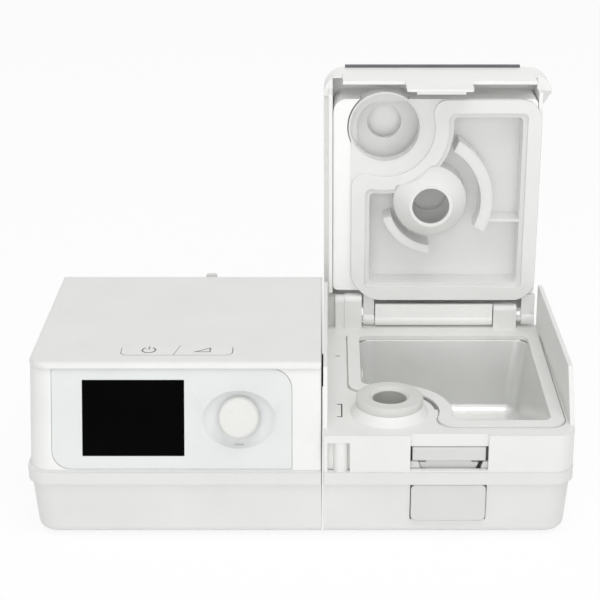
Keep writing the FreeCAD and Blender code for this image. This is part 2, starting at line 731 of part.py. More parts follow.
def lcd_module():
    x0, x1 = SCREEN_X - LCD_MARGIN, SCREEN_X + SCREEN_WIDTH + LCD_MARGIN
    z0, z1 = SCREEN_FOOT - LCD_MARGIN, SCREEN_FOOT + SCREEN_HEIGHT + LCD_MARGIN
    back = PANEL_THICK + LCD_THICK
    slab = brick(x0, x1, PANEL_THICK, back, z0, z1)
    active = brick(SCREEN_X + 1, SCREEN_X + SCREEN_WIDTH - 1, GLASS_THICK, PANEL_THICK,
                   SCREEN_FOOT + 1, SCREEN_FOOT + SCREEN_HEIGHT - 1)
    legs = [face_rod(x, z, back, BOARD_IN, 2.0) for x in (x0 + 4, x1 - 4) for z in (z0 + 4, z1 - 4)]
    return on_face(slab.fuse([active] + legs))


def control_board():
    x0 = SCREEN_X - LCD_MARGIN - 1
    board = brick(x0, DIAL_X + DISH_WIDTH / 2, BOARD_IN, BOARD_IN + BOARD_THICK,
                  CONTROL_LOW, CONTROL_LOW + CONTROL_HEIGHT)
    return on_face(board)


def encoder_body():
    half = ENCODER_SIZE / 2
    y0, y1 = DISH_BACK + CLEAR, BOARD_IN
    body = brick(DIAL_X - half, DIAL_X + half, y0, y1, DIAL_UP - half, DIAL_UP + half)
    body = body.fuse(face_rod(DIAL_X, DIAL_UP, DISH_DEPTH - BUSH_PROUD, y0 + 1, SHAFT_R + BUSH_WALL))
    bore = face_rod(DIAL_X, DIAL_UP, -5, y0 + 2, SHAFT_R + RUNNING)
    room = face_rod(DIAL_X, DIAL_UP, y0 + 1.2, y0 + 1.2 + ROTOR_THICK + 2 * RUNNING, ROTOR_R + RUNNING)
    push = face_rod(DIAL_X, DIAL_UP, y0 + 2, y1 - 0.8, DRIVE_R + CLEAR)
    return on_face(body.cut([bore, room, push]))


def rotor_front():
    return DISH_BACK + CLEAR + 1.2 + RUNNING


def encoder_rotor():
    ring = face_rod(DIAL_X, DIAL_UP, rotor_front(), rotor_front() + ROTOR_THICK, ROTOR_R)
    hole = face_rod(DIAL_X, DIAL_UP, rotor_front() - 1, rotor_front() + ROTOR_THICK + 1, DRIVE_R + RUNNING)
    return on_face(ring.cut(hole))


def dial_shaft():
    """Shaft that turns with the dial and is pushed in with it."""
    stop = rotor_front() - DIAL_TRAVEL - CLEAR / 2
    shaft = face_rod(DIAL_X, DIAL_UP, -DIAL_PROUD + 3, stop, SHAFT_R)
    drive = face_rod(DIAL_X, DIAL_UP, stop, rotor_front() + ROTOR_THICK + 0.8, DRIVE_R)
    return on_face(shaft.fuse(drive))


def dial_knob():
    back = DISH_DEPTH - DIAL_LIFT
    cap = Part.makeCylinder(DIAL_R, back + DIAL_PROUD, Vector(DIAL_X, -DIAL_PROUD, DIAL_UP), Vector(0, 1, 0))
    rim = [e for e in cap.Edges if abs(e.BoundBox.YMax + DIAL_PROUD) < 0.01]
    cap = cap.makeFillet(DIAL_EDGE_R, rim[:1])
    hollow = face_rod(DIAL_X, DIAL_UP, -DIAL_PROUD + 2.2, back + 1, DIAL_R - DIAL_WALL)
    hub = face_rod(DIAL_X, DIAL_UP, -DIAL_PROUD + 1.5, back, SHAFT_R + 1.6)
    bore = face_rod(DIAL_X, DIAL_UP, -DIAL_PROUD + 3, back + 1, SHAFT_R)
    return on_face(cap.cut(hollow).fuse(hub).cut(bore))


# ---- blower unit: keys ----
def key_cap(side):
    """One top key; side is -1 for the left key and 1 for the right one."""
    split = MAIN_LEFT + KEY_SPLIT
    near = side * KEY_GAP / 2
    far = side * KEY_WIDTH
    front, back = KEY_DEPTH, KEY_DEPTH + KEY_LENGTH
    points = [(split + near - KEY_SLANT, front), (split + far, front),
              (split + far, back), (split + near + KEY_SLANT, back)]
    radii = [0.4, KEY_CORNER_R, KEY_CORNER_R, 0.4]
    top = MAIN_HEIGHT + KEY_PROUD
    cap = plan_prism(points, radii, top - KEY_THICK, top)
    stem = post(key_x(side), key_board_depth(), top - KEY_THICK - STEM_LENGTH, top - KEY_THICK, STEM_R)
    return cap.fuse(stem)


def key_x(side):
    return MAIN_LEFT + KEY_SPLIT + side * KEY_WIDTH / 2


def key_board_depth():
    return KEY_DEPTH + KEY_LENGTH / 2


def key_board_top():
    """Top of the key board, set by the switches that the stems press."""
    stem_end = MAIN_HEIGHT + KEY_PROUD - KEY_THICK - STEM_LENGTH
    return stem_end - CLEAR - KEY_TRAVEL - ACTUATOR_HEIGHT - SWITCH_HEIGHT


def key_board_ties():
    split = MAIN_LEFT + KEY_SPLIT
    return [split - KEY_WIDTH - 5, split + KEY_WIDTH + 5]


def key_board():
    split = MAIN_LEFT + KEY_SPLIT
    half = KEY_WIDTH + 8
    return box(split - half, split + half, KEY_DEPTH, KEY_DEPTH + KEY_LENGTH,
               key_board_top() - BOARD_THICK, key_board_top())


def key_switches():
    switches = []
    top = key_board_top()
    half = SWITCH_SIZE / 2
    for side in (-1, 1):
        x, d = key_x(side), key_board_depth()
        body = box(x - half, x + half, d - half, d + half, top, top + SWITCH_HEIGHT)
        cap = post(x, d, top + SWITCH_HEIGHT, top + SWITCH_HEIGHT + ACTUATOR_HEIGHT, ACTUATOR_R)
        switches.append(body.fuse(cap))
    return Part.makeCompound(switches)


# ---- blower unit: blower ----
def spiral_face(shrink, z):
    """Face inside the volute's spiral wall, drawn in by shrink."""
    points = []
    steps = 16
    for i in range(steps + 1):
        share = i / steps
        radius = VOLUTE_R_LARGE + (VOLUTE_R_SMALL - VOLUTE_R_LARGE) * share - shrink
        angle = pi / 2 + 2 * pi * share
        points.append(Vector(VOLUTE_CX + radius * cos(angle), y_at(VOLUTE_DEPTH) + radius * sin(angle), z))
    curve = Part.BSplineCurve()
    curve.interpolate(points)
    return Part.Face(Part.Wire([curve.toShape(), Part.LineSegment(points[-1], points[0]).toShape()]))


def volute_form(shrink, z0, z1):
    """Spiral and its straight exit, between two heights."""
    spiral = spiral_face(shrink, z0).extrude(Vector(0, 0, z1 - z0))
    outer = VOLUTE_DEPTH + VOLUTE_R_LARGE - shrink
    inner = VOLUTE_DEPTH + VOLUTE_R_LARGE - VOLUTE_EXIT_WIDTH + shrink
    exit_box = box(VOLUTE_CX - 1, VOLUTE_CX + VOLUTE_EXIT_LENGTH, inner, outer, z0, z1)
    return spiral.fuse(exit_box).removeSplitter()


def blower_base():
    mid = VOLUTE_LOW + VOLUTE_HEIGHT / 2
    shell = volute_form(0, VOLUTE_LOW, mid)
    hollow = volute_form(VOLUTE_WALL, VOLUTE_LOW + VOLUTE_WALL, mid)
    mouth = exit_opening(mid)
    shaft = post(VOLUTE_CX, VOLUTE_DEPTH, VOLUTE_LOW - 1, mid, MOTOR_SHAFT_R + 1)
    return shell.cut([hollow, mouth, shaft])


def exit_opening(z_split):
    """Way out through the end of the volute's straight exit."""
    outer = VOLUTE_DEPTH + VOLUTE_R_LARGE - VOLUTE_WALL
    inner = outer - VOLUTE_EXIT_WIDTH + 2 * VOLUTE_WALL
    end = VOLUTE_CX + VOLUTE_EXIT_LENGTH
    return box(end - 5, end + 1, inner, outer,
               VOLUTE_LOW + VOLUTE_WALL, VOLUTE_LOW + VOLUTE_HEIGHT - VOLUTE_WALL)


def blower_cover():
    mid = VOLUTE_LOW + VOLUTE_HEIGHT / 2
    top = VOLUTE_LOW + VOLUTE_HEIGHT
    shell = volute_form(0, mid, top)
    hollow = volute_form(VOLUTE_WALL, mid, top - VOLUTE_WALL)
    eye = post(VOLUTE_CX, VOLUTE_DEPTH, mid, top + 1, INLET_R)
    lip = post(VOLUTE_CX, VOLUTE_DEPTH, top, top + 3, INLET_R + 2).cut(
        post(VOLUTE_CX, VOLUTE_DEPTH, top - 1, top + 4, INLET_R))
    return shell.cut([hollow, exit_opening(mid), eye]).fuse(lip)


def blade():
    """One backward-curved blade, at the hub's own centre."""
    def rim_point(share, side):
        radius = BLADE_ROOT_R + (IMPELLER_R - BLADE_ROOT_R) * share
        angle = -radians(BLADE_TURN) * share + side * BLADE_THICK / 2 / radius
        return Vector(radius * cos(angle), radius * sin(angle), 0)
    near, far = ([rim_point(share, side) for share in (0, 0.5, 1)] for side in (-1, 1))
    return strip(near, far, BLADE_HEIGHT)


def impeller_low():
    return VOLUTE_LOW + VOLUTE_WALL + 1.0


def impeller():
    plate_top = impeller_low() + 1.5
    wheel = post(VOLUTE_CX, VOLUTE_DEPTH, impeller_low(), plate_top, IMPELLER_R)
    hub = taper(VOLUTE_CX, VOLUTE_DEPTH, plate_top, plate_top + 10, HUB_R, HUB_R * 0.6)
    blades = []
    for i in range(BLADE_COUNT):
        one = blade()
        one.rotate(Vector(0, 0, 0), Vector(0, 0, 1), 360 * i / BLADE_COUNT)
        one.translate(Vector(VOLUTE_CX, y_at(VOLUTE_DEPTH), plate_top))
        blades.append(one)
    whole = wheel.fuse([hub] + blades)
    return whole.cut(post(VOLUTE_CX, VOLUTE_DEPTH, 0, plate_top + 8, MOTOR_SHAFT_R))


def motor_shaft():
    return post(VOLUTE_CX, VOLUTE_DEPTH, VOLUTE_LOW - MOTOR_HEIGHT + 4, impeller_low() + 9, MOTOR_SHAFT_R)


def blower_motor():
    low = VOLUTE_LOW - MOTOR_HEIGHT
    body = post(VOLUTE_CX, VOLUTE_DEPTH, low, VOLUTE_LOW, MOTOR_R)
    ring = post(VOLUTE_CX, VOLUTE_DEPTH, low + 6, low + 8, MOTOR_R + 1).cut(
        post(VOLUTE_CX, VOLUTE_DEPTH, low + 5, low + 9, MOTOR_R - 0.8))
    bore = post(VOLUTE_CX, VOLUTE_DEPTH, low + 3, VOLUTE_LOW + 1, MOTOR_SHAFT_R + RUNNING)
    return body.cut([bore, ring])


def mount_places():
    return [(VOLUTE_CX + MOUNT_RING_R * cos(a), VOLUTE_DEPTH + MOUNT_RING_R * sin(a))
            for a in (radians(d) for d in (30, 150, 270))]


def mount_low():
    return VOLUTE_LOW - MOUNT_HEIGHT


def blower_mounts():
    """Soft waisted mounts between the case's posts and the blower."""
    mounts = []
    for x, d in mount_places():
        half = MOUNT_HEIGHT / 2
        low = taper(x, d, mount_low(), mount_low() + half, MOUNT_R, MOUNT_R * 0.7)
        high = taper(x, d, mount_low() + half, VOLUTE_LOW, MOUNT_R * 0.7, MOUNT_R)
        mounts.append(low.fuse(high))
    return Part.makeCompound(mounts)


def side_outlet_duct():
    """Box socket on the volute's exit that ends in the round port in the case's side."""
    x0 = VOLUTE_CX + VOLUTE_EXIT_LENGTH
    x1 = x0 + DUCT_BOX_LENGTH
    half = VOLUTE_EXIT_WIDTH / 2
    tall = VOLUTE_HEIGHT / 2
    socket = box(x0, x1, PORT_DEPTH - half, PORT_DEPTH + half, PORT_HEIGHT - tall, PORT_HEIGHT + tall)
    hollow = box(x0 - 1, x1 - PORT_WALL, PORT_DEPTH - half + PORT_WALL, PORT_DEPTH + half - PORT_WALL,
                 PORT_HEIGHT - tall + PORT_WALL, PORT_HEIGHT + tall - PORT_WALL)
    port = bar_x(x1 - 1, MAIN_RIGHT - CLEAR, PORT_DEPTH, PORT_HEIGHT, PORT_R)
    bore = bar_x(x1 - 3, MAIN_RIGHT + 1, PORT_DEPTH, PORT_HEIGHT, PORT_R - PORT_WALL)
    return socket.fuse(port).cut([hollow, bore])


def duct_seal():
    """Soft ring that closes the joint between the two modules' air ports."""
    ring = bar_x(MAIN_RIGHT - CLEAR, HUMID_LEFT, PORT_DEPTH, PORT_HEIGHT, PORT_R)
    return ring.cut(bar_x(MAIN_RIGHT - 1, HUMID_LEFT + 1, PORT_DEPTH, PORT_HEIGHT, PORT_R - PORT_WALL))


# ---- blower unit: filter, board, inlet ----
def filter_cover():
    x = MAIN_LEFT + FILTER_X
    half = FILTER_WIDTH / 2 + COVER_MARGIN
    low, high = FILTER_FOOT - COVER_MARGIN, FILTER_FOOT + FILTER_HEIGHT + COVER_MARGIN
    face = CASE_DEPTH - SIDE_INSET + CLEAR
    plate = front_prism(rectangle(x - half, x + half, low, high), [3] * 4, face, face + COVER_THICK)
    tab = front_prism(rectangle(x - TAB_WIDTH / 2, x + TAB_WIDTH / 2, high - 2, TAB_TOP), [0, 0, 1.5, 1.5],
                      face + 0.8, face + COVER_THICK)
    pitch = FILTER_HEIGHT / LOUVRE_COUNT
    slots = [box(x - FILTER_WIDTH / 2 + 2, x + FILTER_WIDTH / 2 - 2, face - 1, face + COVER_THICK + 1,
                 FILTER_FOOT + pitch * (i + 0.5) - LOUVRE_HEIGHT / 2,
                 FILTER_FOOT + pitch * (i + 0.5) + LOUVRE_HEIGHT / 2) for i in range(LOUVRE_COUNT)]
    return plate.fuse(tab).cut(slots)


def air_filter():
    x = MAIN_LEFT + FILTER_X
    face = CASE_DEPTH - SIDE_INSET + CLEAR
    return box(x - FILTER_WIDTH / 2, x + FILTER_WIDTH / 2, face - FILTER_THICK, face,
               FILTER_FOOT, FILTER_FOOT + FILTER_HEIGHT)


def board_box():
    """Left, right, front and back of the main board."""
    x0 = MAIN_LEFT + BELT_PROUD + BASE_DRAFT + CASE_WALL + BOARD_MARGIN
    back = CASE_DEPTH - BOARD_REAR
    return x0, x0 + BOARD_WIDTH, back - BOARD_LENGTH, back


def board_corners():
    x0, x1, d0, d1 = board_box()
    return [(x, d) for x in (x0 + 4, x1 - 4) for d in (d0 + 4, d1 - 20)]


def main_board():
    x0, x1, d0, d1 = board_box()
    return box(x0, x1, d0, d1, BOARD_TOP - BOARD_THICK, BOARD_TOP)


def board_parts():
    """Capacitors, a coil and packages on the main board."""
    x0, x1, d0, d1 = board_box()
    top = BOARD_TOP
    cans = [post(x0 + 2 * CAN_R, d1 - CAN_ROW - i * CAN_PITCH, top, top + CAN_HEIGHT, CAN_R)
            for i in range(2)]
    coil = box(x1 - CLEAR - COIL_SIZE, x1 - CLEAR, d1 - CAN_ROW, d1 - CAN_ROW + COIL_SIZE,
               top, top + COIL_HEIGHT)
    chip_x = x0 + 2 * CHIP_SIZE
    chips = [box(chip_x, chip_x + CHIP_SIZE, d, d + CHIP_SIZE, top, top + CHIP_THICK)
             for d in (d0 + CHIP_PITCH, d0 + 2 * CHIP_PITCH)]
    plug = box(x0 + CAN_R, x0 + CAN_R + COIL_SIZE, d0 + COIL_SIZE, d0 + 1.5 * COIL_SIZE,
               top, top + COIL_HEIGHT)
    return Part.makeCompound(cans + [coil, plug] + chips)


def inlet_x():
    x0, x1, _, _ = board_box()
    return (x0 + x1) / 2


def dc_inlet():
    x, z = inlet_x(), INLET_HEIGHT
    half = INLET_SIZE / 2
    back = CASE_DEPTH - BELT_PROUD - 1.5
    body = box(x - half, x + half, back - INLET_LENGTH, back, BOARD_TOP, z + half)
    body = body.cut(bar_y(x, back - INLET_LENGTH + 3, back + 1, z, INLET_BORE_R))
    return body.fuse(bar_y(x, back - INLET_LENGTH + 2, back - 1, z, INLET_PIN_R))


# ---- humidifier: tank outline shared by tub, rim, well, gasket and inner plate ----
def notched_wire(inset, corner_r, notch_corner_r, z):
    """Tank outline drawn in by inset: a rounded rectangle with a round notch at front left."""
    x0, x1 = RIM_X0 + inset, RIM_X1 - inset
    d0, d1 = RIM_FRONT + inset, RIM_BACK - inset
    notch = NOTCH_R + inset
    reach = notch + notch_corner_r
    side_d = CUFF_DEPTH + sqrt(reach ** 2 - (x0 + notch_corner_r - CUFF_CX) ** 2)
    front_x = CUFF_CX + sqrt(reach ** 2 - (d0 + notch_corner_r - CUFF_DEPTH) ** 2)

    def place(x, d):
        return Vector(x, y_at(d), z)

    def arc(cx, cd, radius, start, end):
        angles = (start, (start + end) / 2, end)
        points = [place(cx + radius * cos(a), cd + radius * sin(a)) for a in angles]
        return Part.Arc(*points).toShape()

    side_c = (x0 + notch_corner_r, side_d)
    front_c = (front_x, d0 + notch_corner_r)
    side_a = atan2(side_c[1] - CUFF_DEPTH, side_c[0] - CUFF_CX)
    front_a = atan2(front_c[1] - CUFF_DEPTH, front_c[0] - CUFF_CX)
    r = corner_r
    edges = [
        arc(*front_c, notch_corner_r, pi + front_a, 3 * pi / 2),
        Part.LineSegment(place(front_x, d0), place(x1 - r, d0)).toShape(),
        arc(x1 - r, d0 + r, r, -pi / 2, 0),
        Part.LineSegment(place(x1, d0 + r), place(x1, d1 - r)).toShape(),
        arc(x1 - r, d1 - r, r, 0, pi / 2),
        Part.LineSegment(place(x1 - r, d1), place(x0 + r, d1)).toShape(),
        arc(x0 + r, d1 - r, r, pi / 2, pi),
        Part.LineSegment(place(x0, d1 - r), place(x0, side_d)).toShape(),
        arc(*side_c, notch_corner_r, pi, pi + side_a),
        arc(CUFF_CX, CUFF_DEPTH, notch, side_a, front_a),
    ]
    return Part.Wire(edges)


def notched_prism(inset, z0, z1):
    corner = max(RIM_CORNER_R - inset * 0.6, 3)
    nib = max(NOTCH_CORNER_R - inset * 0.5, 3)
    return Part.Face(notched_wire(inset, corner, nib, z0)).extrude(Vector(0, 0, z1 - z0))


def tub_form(grow, floor):
    """Tapered tub body with a rounded floor edge, grown outwards by grow."""
    top_inset = RIM_BAND - grow
    low_inset = RIM_BAND + TUB_TAPER - grow
    wires = []
    for inset, z in ((low_inset, floor), (top_inset, RIM_LOW)):
        corner = max(RIM_CORNER_R - inset * 0.3, TUB_CORNER_R)
        nib = max(NOTCH_CORNER_R - inset * 0.1, TUB_NIB_R)
        wires.append(notched_wire(inset, corner, nib, z))
    body = Part.makeLoft(wires, True, True)
    bottom = [e for e in body.Edges if e.BoundBox.ZMax < floor + 0.01]
    return body.makeFillet(TUB_EDGE_R + grow, bottom)


def tank_tub():
    """Pressed metal tub with a flange under the rim and an air inlet high in its left wall."""
    outer = tub_form(TUB_WALL, TUB_FLOOR - TUB_WALL)
    inner = tub_form(0, TUB_FLOOR)
    flange = notched_prism(RIM_BAND - TUB_FLANGE, RIM_LOW - TUB_WALL, RIM_LOW)
    hole = bar_x(RIM_X0, RIM_X0 + TUB_PORT_CUT, PORT_DEPTH, PORT_HEIGHT, PORT_R - 2 * PORT_WALL)
    mouth = notched_prism(RIM_BAND, RIM_LOW - TUB_WALL - 0.2, RIM_LOW)
    return outer.fuse(flange).cut([inner, mouth, hole])


def tank_rim():
    ring = notched_prism(0, RIM_LOW, RIM_TOP)
    return ring.cut(notched_prism(RIM_BAND, RIM_LOW - 1, RIM_TOP + 1))


# ---- humidifier: cases ----
def fin_front(z):
    """Depth of the fin's leaning front edge at this height."""
    return FIN_LEAN * (z - BELT_TOP) / (FIN_TOP - BELT_TOP)


def dock_front(z):
    """Depth of the dock wall's front edge, which carries on the blower unit's face."""
    return FACE_SETBACK + FACE_LEAN * (z - BELT_TOP) / FACE_RISE


def outer_x(depth):
    """Outer side of the upper frame, which leans in towards the back."""
    return HUMID_RIGHT - FIN_TAPER * depth / CASE_DEPTH


def frame_plan():
    """Plan of the humidifier's upper frame."""
    back = CASE_DEPTH - SIDE_INSET
    points = [(HUMID_LEFT, FRAME_FRONT), (outer_x(FRAME_FRONT), FRAME_FRONT), (outer_x(back), back),
              (HUMID_LEFT, back)]
    return points, [DOCK_CORNER_R, CORNER_R, CORNER_R, DOCK_CORNER_R]


def fin():
    points = [(max(fin_front(BELT_TOP), FRAME_FRONT), BELT_TOP), (FIN_REAR, BELT_TOP),
              (FIN_REAR, FIN_TOP), (fin_front(FIN_TOP), FIN_TOP)]
    blade_shape = side_prism(points, [0, 0, FIN_REAR_R, 1.5], HUMID_RIGHT - CORNER_R, HUMID_RIGHT)
    inner = [(HUMID_LEFT, 0), (outer_x(0) - FIN_WALL, 0),
             (outer_x(CASE_DEPTH) - FIN_WALL, CASE_DEPTH), (HUMID_LEFT, CASE_DEPTH)]
    blade_shape = blade_shape.cut(plan_prism(inner, [0] * 4, BELT_TOP - 1, FIN_TOP + 1))
    return blade_shape.common(plan_prism(*frame_plan(), BELT_TOP, FIN_TOP))


def dock_wall():
    points = [(dock_front(BELT_TOP), BELT_TOP), (DOCK_WALL_REAR, BELT_TOP),
              (DOCK_WALL_REAR, DOCK_WALL_TOP), (dock_front(DOCK_WALL_TOP), DOCK_WALL_TOP)]
    wall = side_prism(points, [0, 0, 3, 1], HUMID_LEFT, HUMID_LEFT + DOCK_WALL)
    return wall.cut(bar_x(HUMID_LEFT - 1, HUMID_LEFT + 5, PORT_DEPTH, PORT_HEIGHT, PORT_R - PORT_WALL))


def frame_body():
    """Deck and skirt of the upper frame, with the tank well hung from the deck."""
    block = plan_prism(*frame_plan(), BELT_TOP, DECK_TOP)
    wall = FRONT_WALL_HUMID
    front, back = FRAME_FRONT + wall, CASE_DEPTH - SIDE_INSET - wall
    inside = [(HUMID_LEFT + DOCK_WALL, front), (outer_x(front) - FIN_WALL, front),
              (outer_x(back) - FIN_WALL, back), (HUMID_LEFT + DOCK_WALL, back)]
    hollow = plan_prism(inside, [1, CORNER_R - wall, CORNER_R - wall, 1], BELT_TOP, DECK_TOP - DECK_THICK)
    well = notched_prism(WELL_INSET - WELL_WALL, WELL_FLOOR, DECK_TOP - DECK_THICK)
    return block.cut(hollow).fuse(well)


def tower(left, right, top, back=0):
    """Hinge tower on the rear deck, rounded at the top, its front face moved back."""
    half = TOWER_LENGTH / 2
    points = rectangle(HINGE_DEPTH - half + back, HINGE_DEPTH + half, DECK_TOP - 1, top - back)
    return side_prism(points, [0, 0, half * 0.8, half * 0.8], HUMID_LEFT + left, HUMID_LEFT + right)


def rear_uprights():
    """Block and shield beside the left tower, and the raised edge behind the right one."""
    block = tower(BLOCK_LEFT, TOWER_LEFT[0] + 1, TOWER_LEFT[2], BLOCK_BACK)
    back = CASE_DEPTH - SIDE_INSET
    shield = box(HUMID_LEFT, HUMID_LEFT + BLOCK_LEFT + 1, CASE_DEPTH - SHIELD_FRONT_IN, back,
                 DECK_TOP - 1, SHIELD_TOP)
    ledge = box(HUMID_LEFT + TOWER_RIGHT[1], HUMID_RIGHT, back - LEDGE_THICK, back, DECK_TOP - 1, LEDGE_TOP)
    return [block, shield, ledge.common(plan_prism(*frame_plan(), DECK_TOP - 1, LEDGE_TOP))]


def front_niche():
    """Walls of the niche beside the dock, and the rounded column that stands in it."""
    x0, x1 = HUMID_LEFT + DOCK_WALL, HUMID_LEFT + NICHE_WIDTH
    walls = box(x0 - 0.5, x1 + 2, FRAME_FRONT + 1, NICHE_DEPTH + 2, BELT_TOP, DECK_TOP - 1)
    hollow = box(x0, x1, 0, NICHE_DEPTH, BELT_TOP, NICHE_TOP)
    column = post((x0 + x1) / 2 + 1, NICHE_DEPTH + 0.5, BELT_TOP, NICHE_TOP + 1, COLUMN_R)
    return walls, hollow, column


def collar():
    """Flared white collar that carries the soft cuff."""
    low = DECK_TOP - DECK_THICK
    outer = taper(CUFF_CX, CUFF_DEPTH, low, CUFF_LOW, COLLAR_R, CUFF_R)
    bore = post(CUFF_CX, CUFF_DEPTH, low - 1, CUFF_LOW + 1, CUFF_R - CUFF_WALL)
    return outer.cut(bore)


def humid_upper_frame():
    body = frame_body().fuse([fin(), dock_wall(), tower(*TOWER_LEFT), tower(*TOWER_RIGHT), collar()]
                             + rear_uprights())
    bosses = [post(x, d, BELT_TOP, DECK_TOP - DECK_THICK, BOSS_R) for x, d in screw_places(HUMID_RIGHT)]
    lintel = box(BUTTON_X0 - 3, BUTTON_X1 + 3, FRAME_FRONT + 1, FRAME_FRONT + SLOT_RECESS + 2.2,
                 SLOT_TOP, DECK_TOP - 1)
    walls, niche, column = front_niche()
    body = body.fuse(bosses + [lintel, walls]).cut(niche).fuse(column)
    pocket = notched_prism(WELL_INSET, WELL_FLOOR + WELL_WALL, DECK_TOP + 1)
    seat = notched_prism(-RIM_GAP, RIM_LOW - CLEAR / 2, DECK_TOP + 1)
    heater = box(heater_x() - FILM_SIZE / 2 - 2, heater_x() + FILM_SIZE / 2 + 2,
                 heater_depth() - FILM_SIZE / 2 - 2, heater_depth() + FILM_SIZE / 2 + 2,
                 WELL_FLOOR - 1, WELL_FLOOR + 5)
    air = post(CUFF_CX, CUFF_DEPTH, DECK_TOP - 5, DECK_TOP + 1, CUFF_R - CUFF_WALL)
    slot = box(BUTTON_X0 - 0.7, BUTTON_X1 + 0.7, 0, BAR_DEPTH, SLOT_LOW, SLOT_TOP).fuse(
        box(BUTTON_X0 - 0.7, BUTTON_X1 + 0.7, 0, FRAME_FRONT + SLOT_RECESS, SLOT_TOP - 1, DECK_TOP + 1))
    pins = bar_x(HUMID_LEFT + TOWER_LEFT[0], HUMID_LEFT + ARM_RIGHT[1], HINGE_DEPTH, HINGE_HEIGHT, PIN_R)
    inlet = bar_x(HUMID_LEFT, RIM_X0 + 10, PORT_DEPTH, PORT_HEIGHT, PORT_R - PORT_WALL)
    spout = bar_x(HUMID_LEFT + DOCK_WALL, RIM_X0 + WELL_INSET + 1, PORT_DEPTH, PORT_HEIGHT,
                  PORT_R + CLEAR / 2)
    holes = [post(x, d, BELT_TOP - 1, SCREW_LENGTH + 1, SCREW_R) for x, d in screw_places(HUMID_RIGHT)]
    return body.cut([pocket, seat, heater, air, slot, pins, inlet, spout] + holes)


def humid_lower_case():
    base = fitted_base(HUMID_RIGHT, HUMID_LEFT)
    button = box(BUTTON_X0 - BUTTON_GAP, BUTTON_X1 + BUTTON_GAP, -1, 6,
                 BUTTON_LOW - BUTTON_GAP, BUTTON_LOW + BUTTON_HEIGHT + BUTTON_GAP)
    port = bar_y(HUMID_LEFT + HOSE_X, CASE_DEPTH - 12, CASE_DEPTH + 1, HOSE_HEIGHT, HOSE_FLANGE_R + CLEAR)
    return base.cut([button, port])


# ---- humidifier: heater ----
def heater_x():
    return (RIM_X0 + RIM_X1) / 2 + HEATER_ASIDE


def heater_depth():
    return (RIM_FRONT + RIM_BACK) / 2 + HEATER_ASIDE


def heater_square(size, radius, z0, z1):
    x, d = heater_x(), heater_depth()
    points = rectangle(x - size / 2, x + size / 2, d - size / 2, d + size / 2)
    return plan_prism(points, [radius] * 4, z0, z1)


def heater_low():
    return WELL_FLOOR + WELL_WALL


def heater_plate():
    """Warm plate under the tub, shaped like the tub's floor."""
    return notched_prism(HEATER_INSET, heater_low(), heater_low() + HEATER_THICK - CLEAR)


def heater_film():
    return heater_square(FILM_SIZE, 4, heater_low() - FILM_THICK, heater_low())


def heater_holder():
    """Frame on the case floor that keeps the film pressed to the plate."""
    low, high = FLOOR, heater_low() - FILM_THICK
    frame = heater_square(FILM_SIZE, 4, low, high)
    return frame.cut(heater_square(FILM_SIZE - 2 * HOLDER_RIM, 2, low + 2, high + 1))


# ---- humidifier: air path ----
def outlet_cuff():
    """Soft ring on the collar that seals against the lid's air chamber."""
    body = post(CUFF_CX, CUFF_DEPTH, CUFF_LOW, CUFF_TOP, CUFF_R)
    body = body.makeFillet(1.4, [e for e in body.Edges if e.BoundBox.ZMin > CUFF_TOP - 0.01])
    lip = CUFF_TOP - CUFF_LIP
    throat = post(CUFF_CX, CUFF_DEPTH, CUFF_LOW - 1, lip, CUFF_R - CUFF_WALL)
    mouth = taper(CUFF_CX, CUFF_DEPTH, lip, CUFF_TOP, CUFF_MOUTH_R, CUFF_MOUTH_R + CUFF_LIP)
    return body.cut([throat, mouth])


def outlet_duct():
    """Duct from the cuff, down and back along the dock side to the hose port."""
    top = DECK_TOP - DECK_THICK
    low, high = CHANNEL_LOW, CHANNEL_LOW + CHANNEL_HEIGHT
    wall = CHANNEL_WALL
    x0 = HUMID_LEFT + CASE_WALL + CLEAR
    x1 = x0 + CHANNEL_WIDTH
    drum_r = CUFF_R - CUFF_WALL + wall
    back = CASE_DEPTH - BELT_PROUD - BASE_DRAFT - CASE_WALL - 1
    drum = post(CUFF_CX, CUFF_DEPTH, low, top, drum_r)
    drum_in = post(CUFF_CX, CUFF_DEPTH, low + wall, top + 1, drum_r - wall)
    front = CUFF_DEPTH - 10
    run = box(x0, x1, front, back, low, high)
    run_in = box(x0 + wall, x1 - wall, front + wall, back - wall, low + wall, high - wall)
    link = box(x0, CUFF_CX, front, CUFF_DEPTH + 10, low, high)
    link_in = box(x0 + wall, CUFF_CX, front + wall, CUFF_DEPTH + 10 - wall, low + wall, high - wall)
    socket = box(x0, HUMID_LEFT + HOSE_X + HOSE_R + wall, RIM_BACK + 1, back, low, high)
    socket_in = box(x0 + wall, HUMID_LEFT + HOSE_X + HOSE_R, RIM_BACK + 1 + wall, back - wall,
                    low + wall, high - wall)
    mouth = bar_y(HUMID_LEFT + HOSE_X, back - wall - 1, back + 1, HOSE_HEIGHT, HOSE_R - HOSE_WALL)
    return drum.fuse([run, link, socket]).cut([drum_in, run_in, link_in, socket_in, mouth])


def hose_port():
    """Round port for the breathing hose, at the back."""
    start = CASE_DEPTH - BELT_PROUD - BASE_DRAFT - CASE_WALL - 1
    end = CASE_DEPTH + HOSE_LENGTH
    flange = bar_y(HUMID_LEFT + HOSE_X, start, CASE_DEPTH, HOSE_HEIGHT, HOSE_FLANGE_R)
    tube = bar_y(HUMID_LEFT + HOSE_X, start, end, HOSE_HEIGHT, HOSE_R)
    bore = bar_y(HUMID_LEFT + HOSE_X, start - 1, end + 1, HOSE_HEIGHT, HOSE_R - HOSE_WALL)
    return flange.fuse(tube).cut(bore)


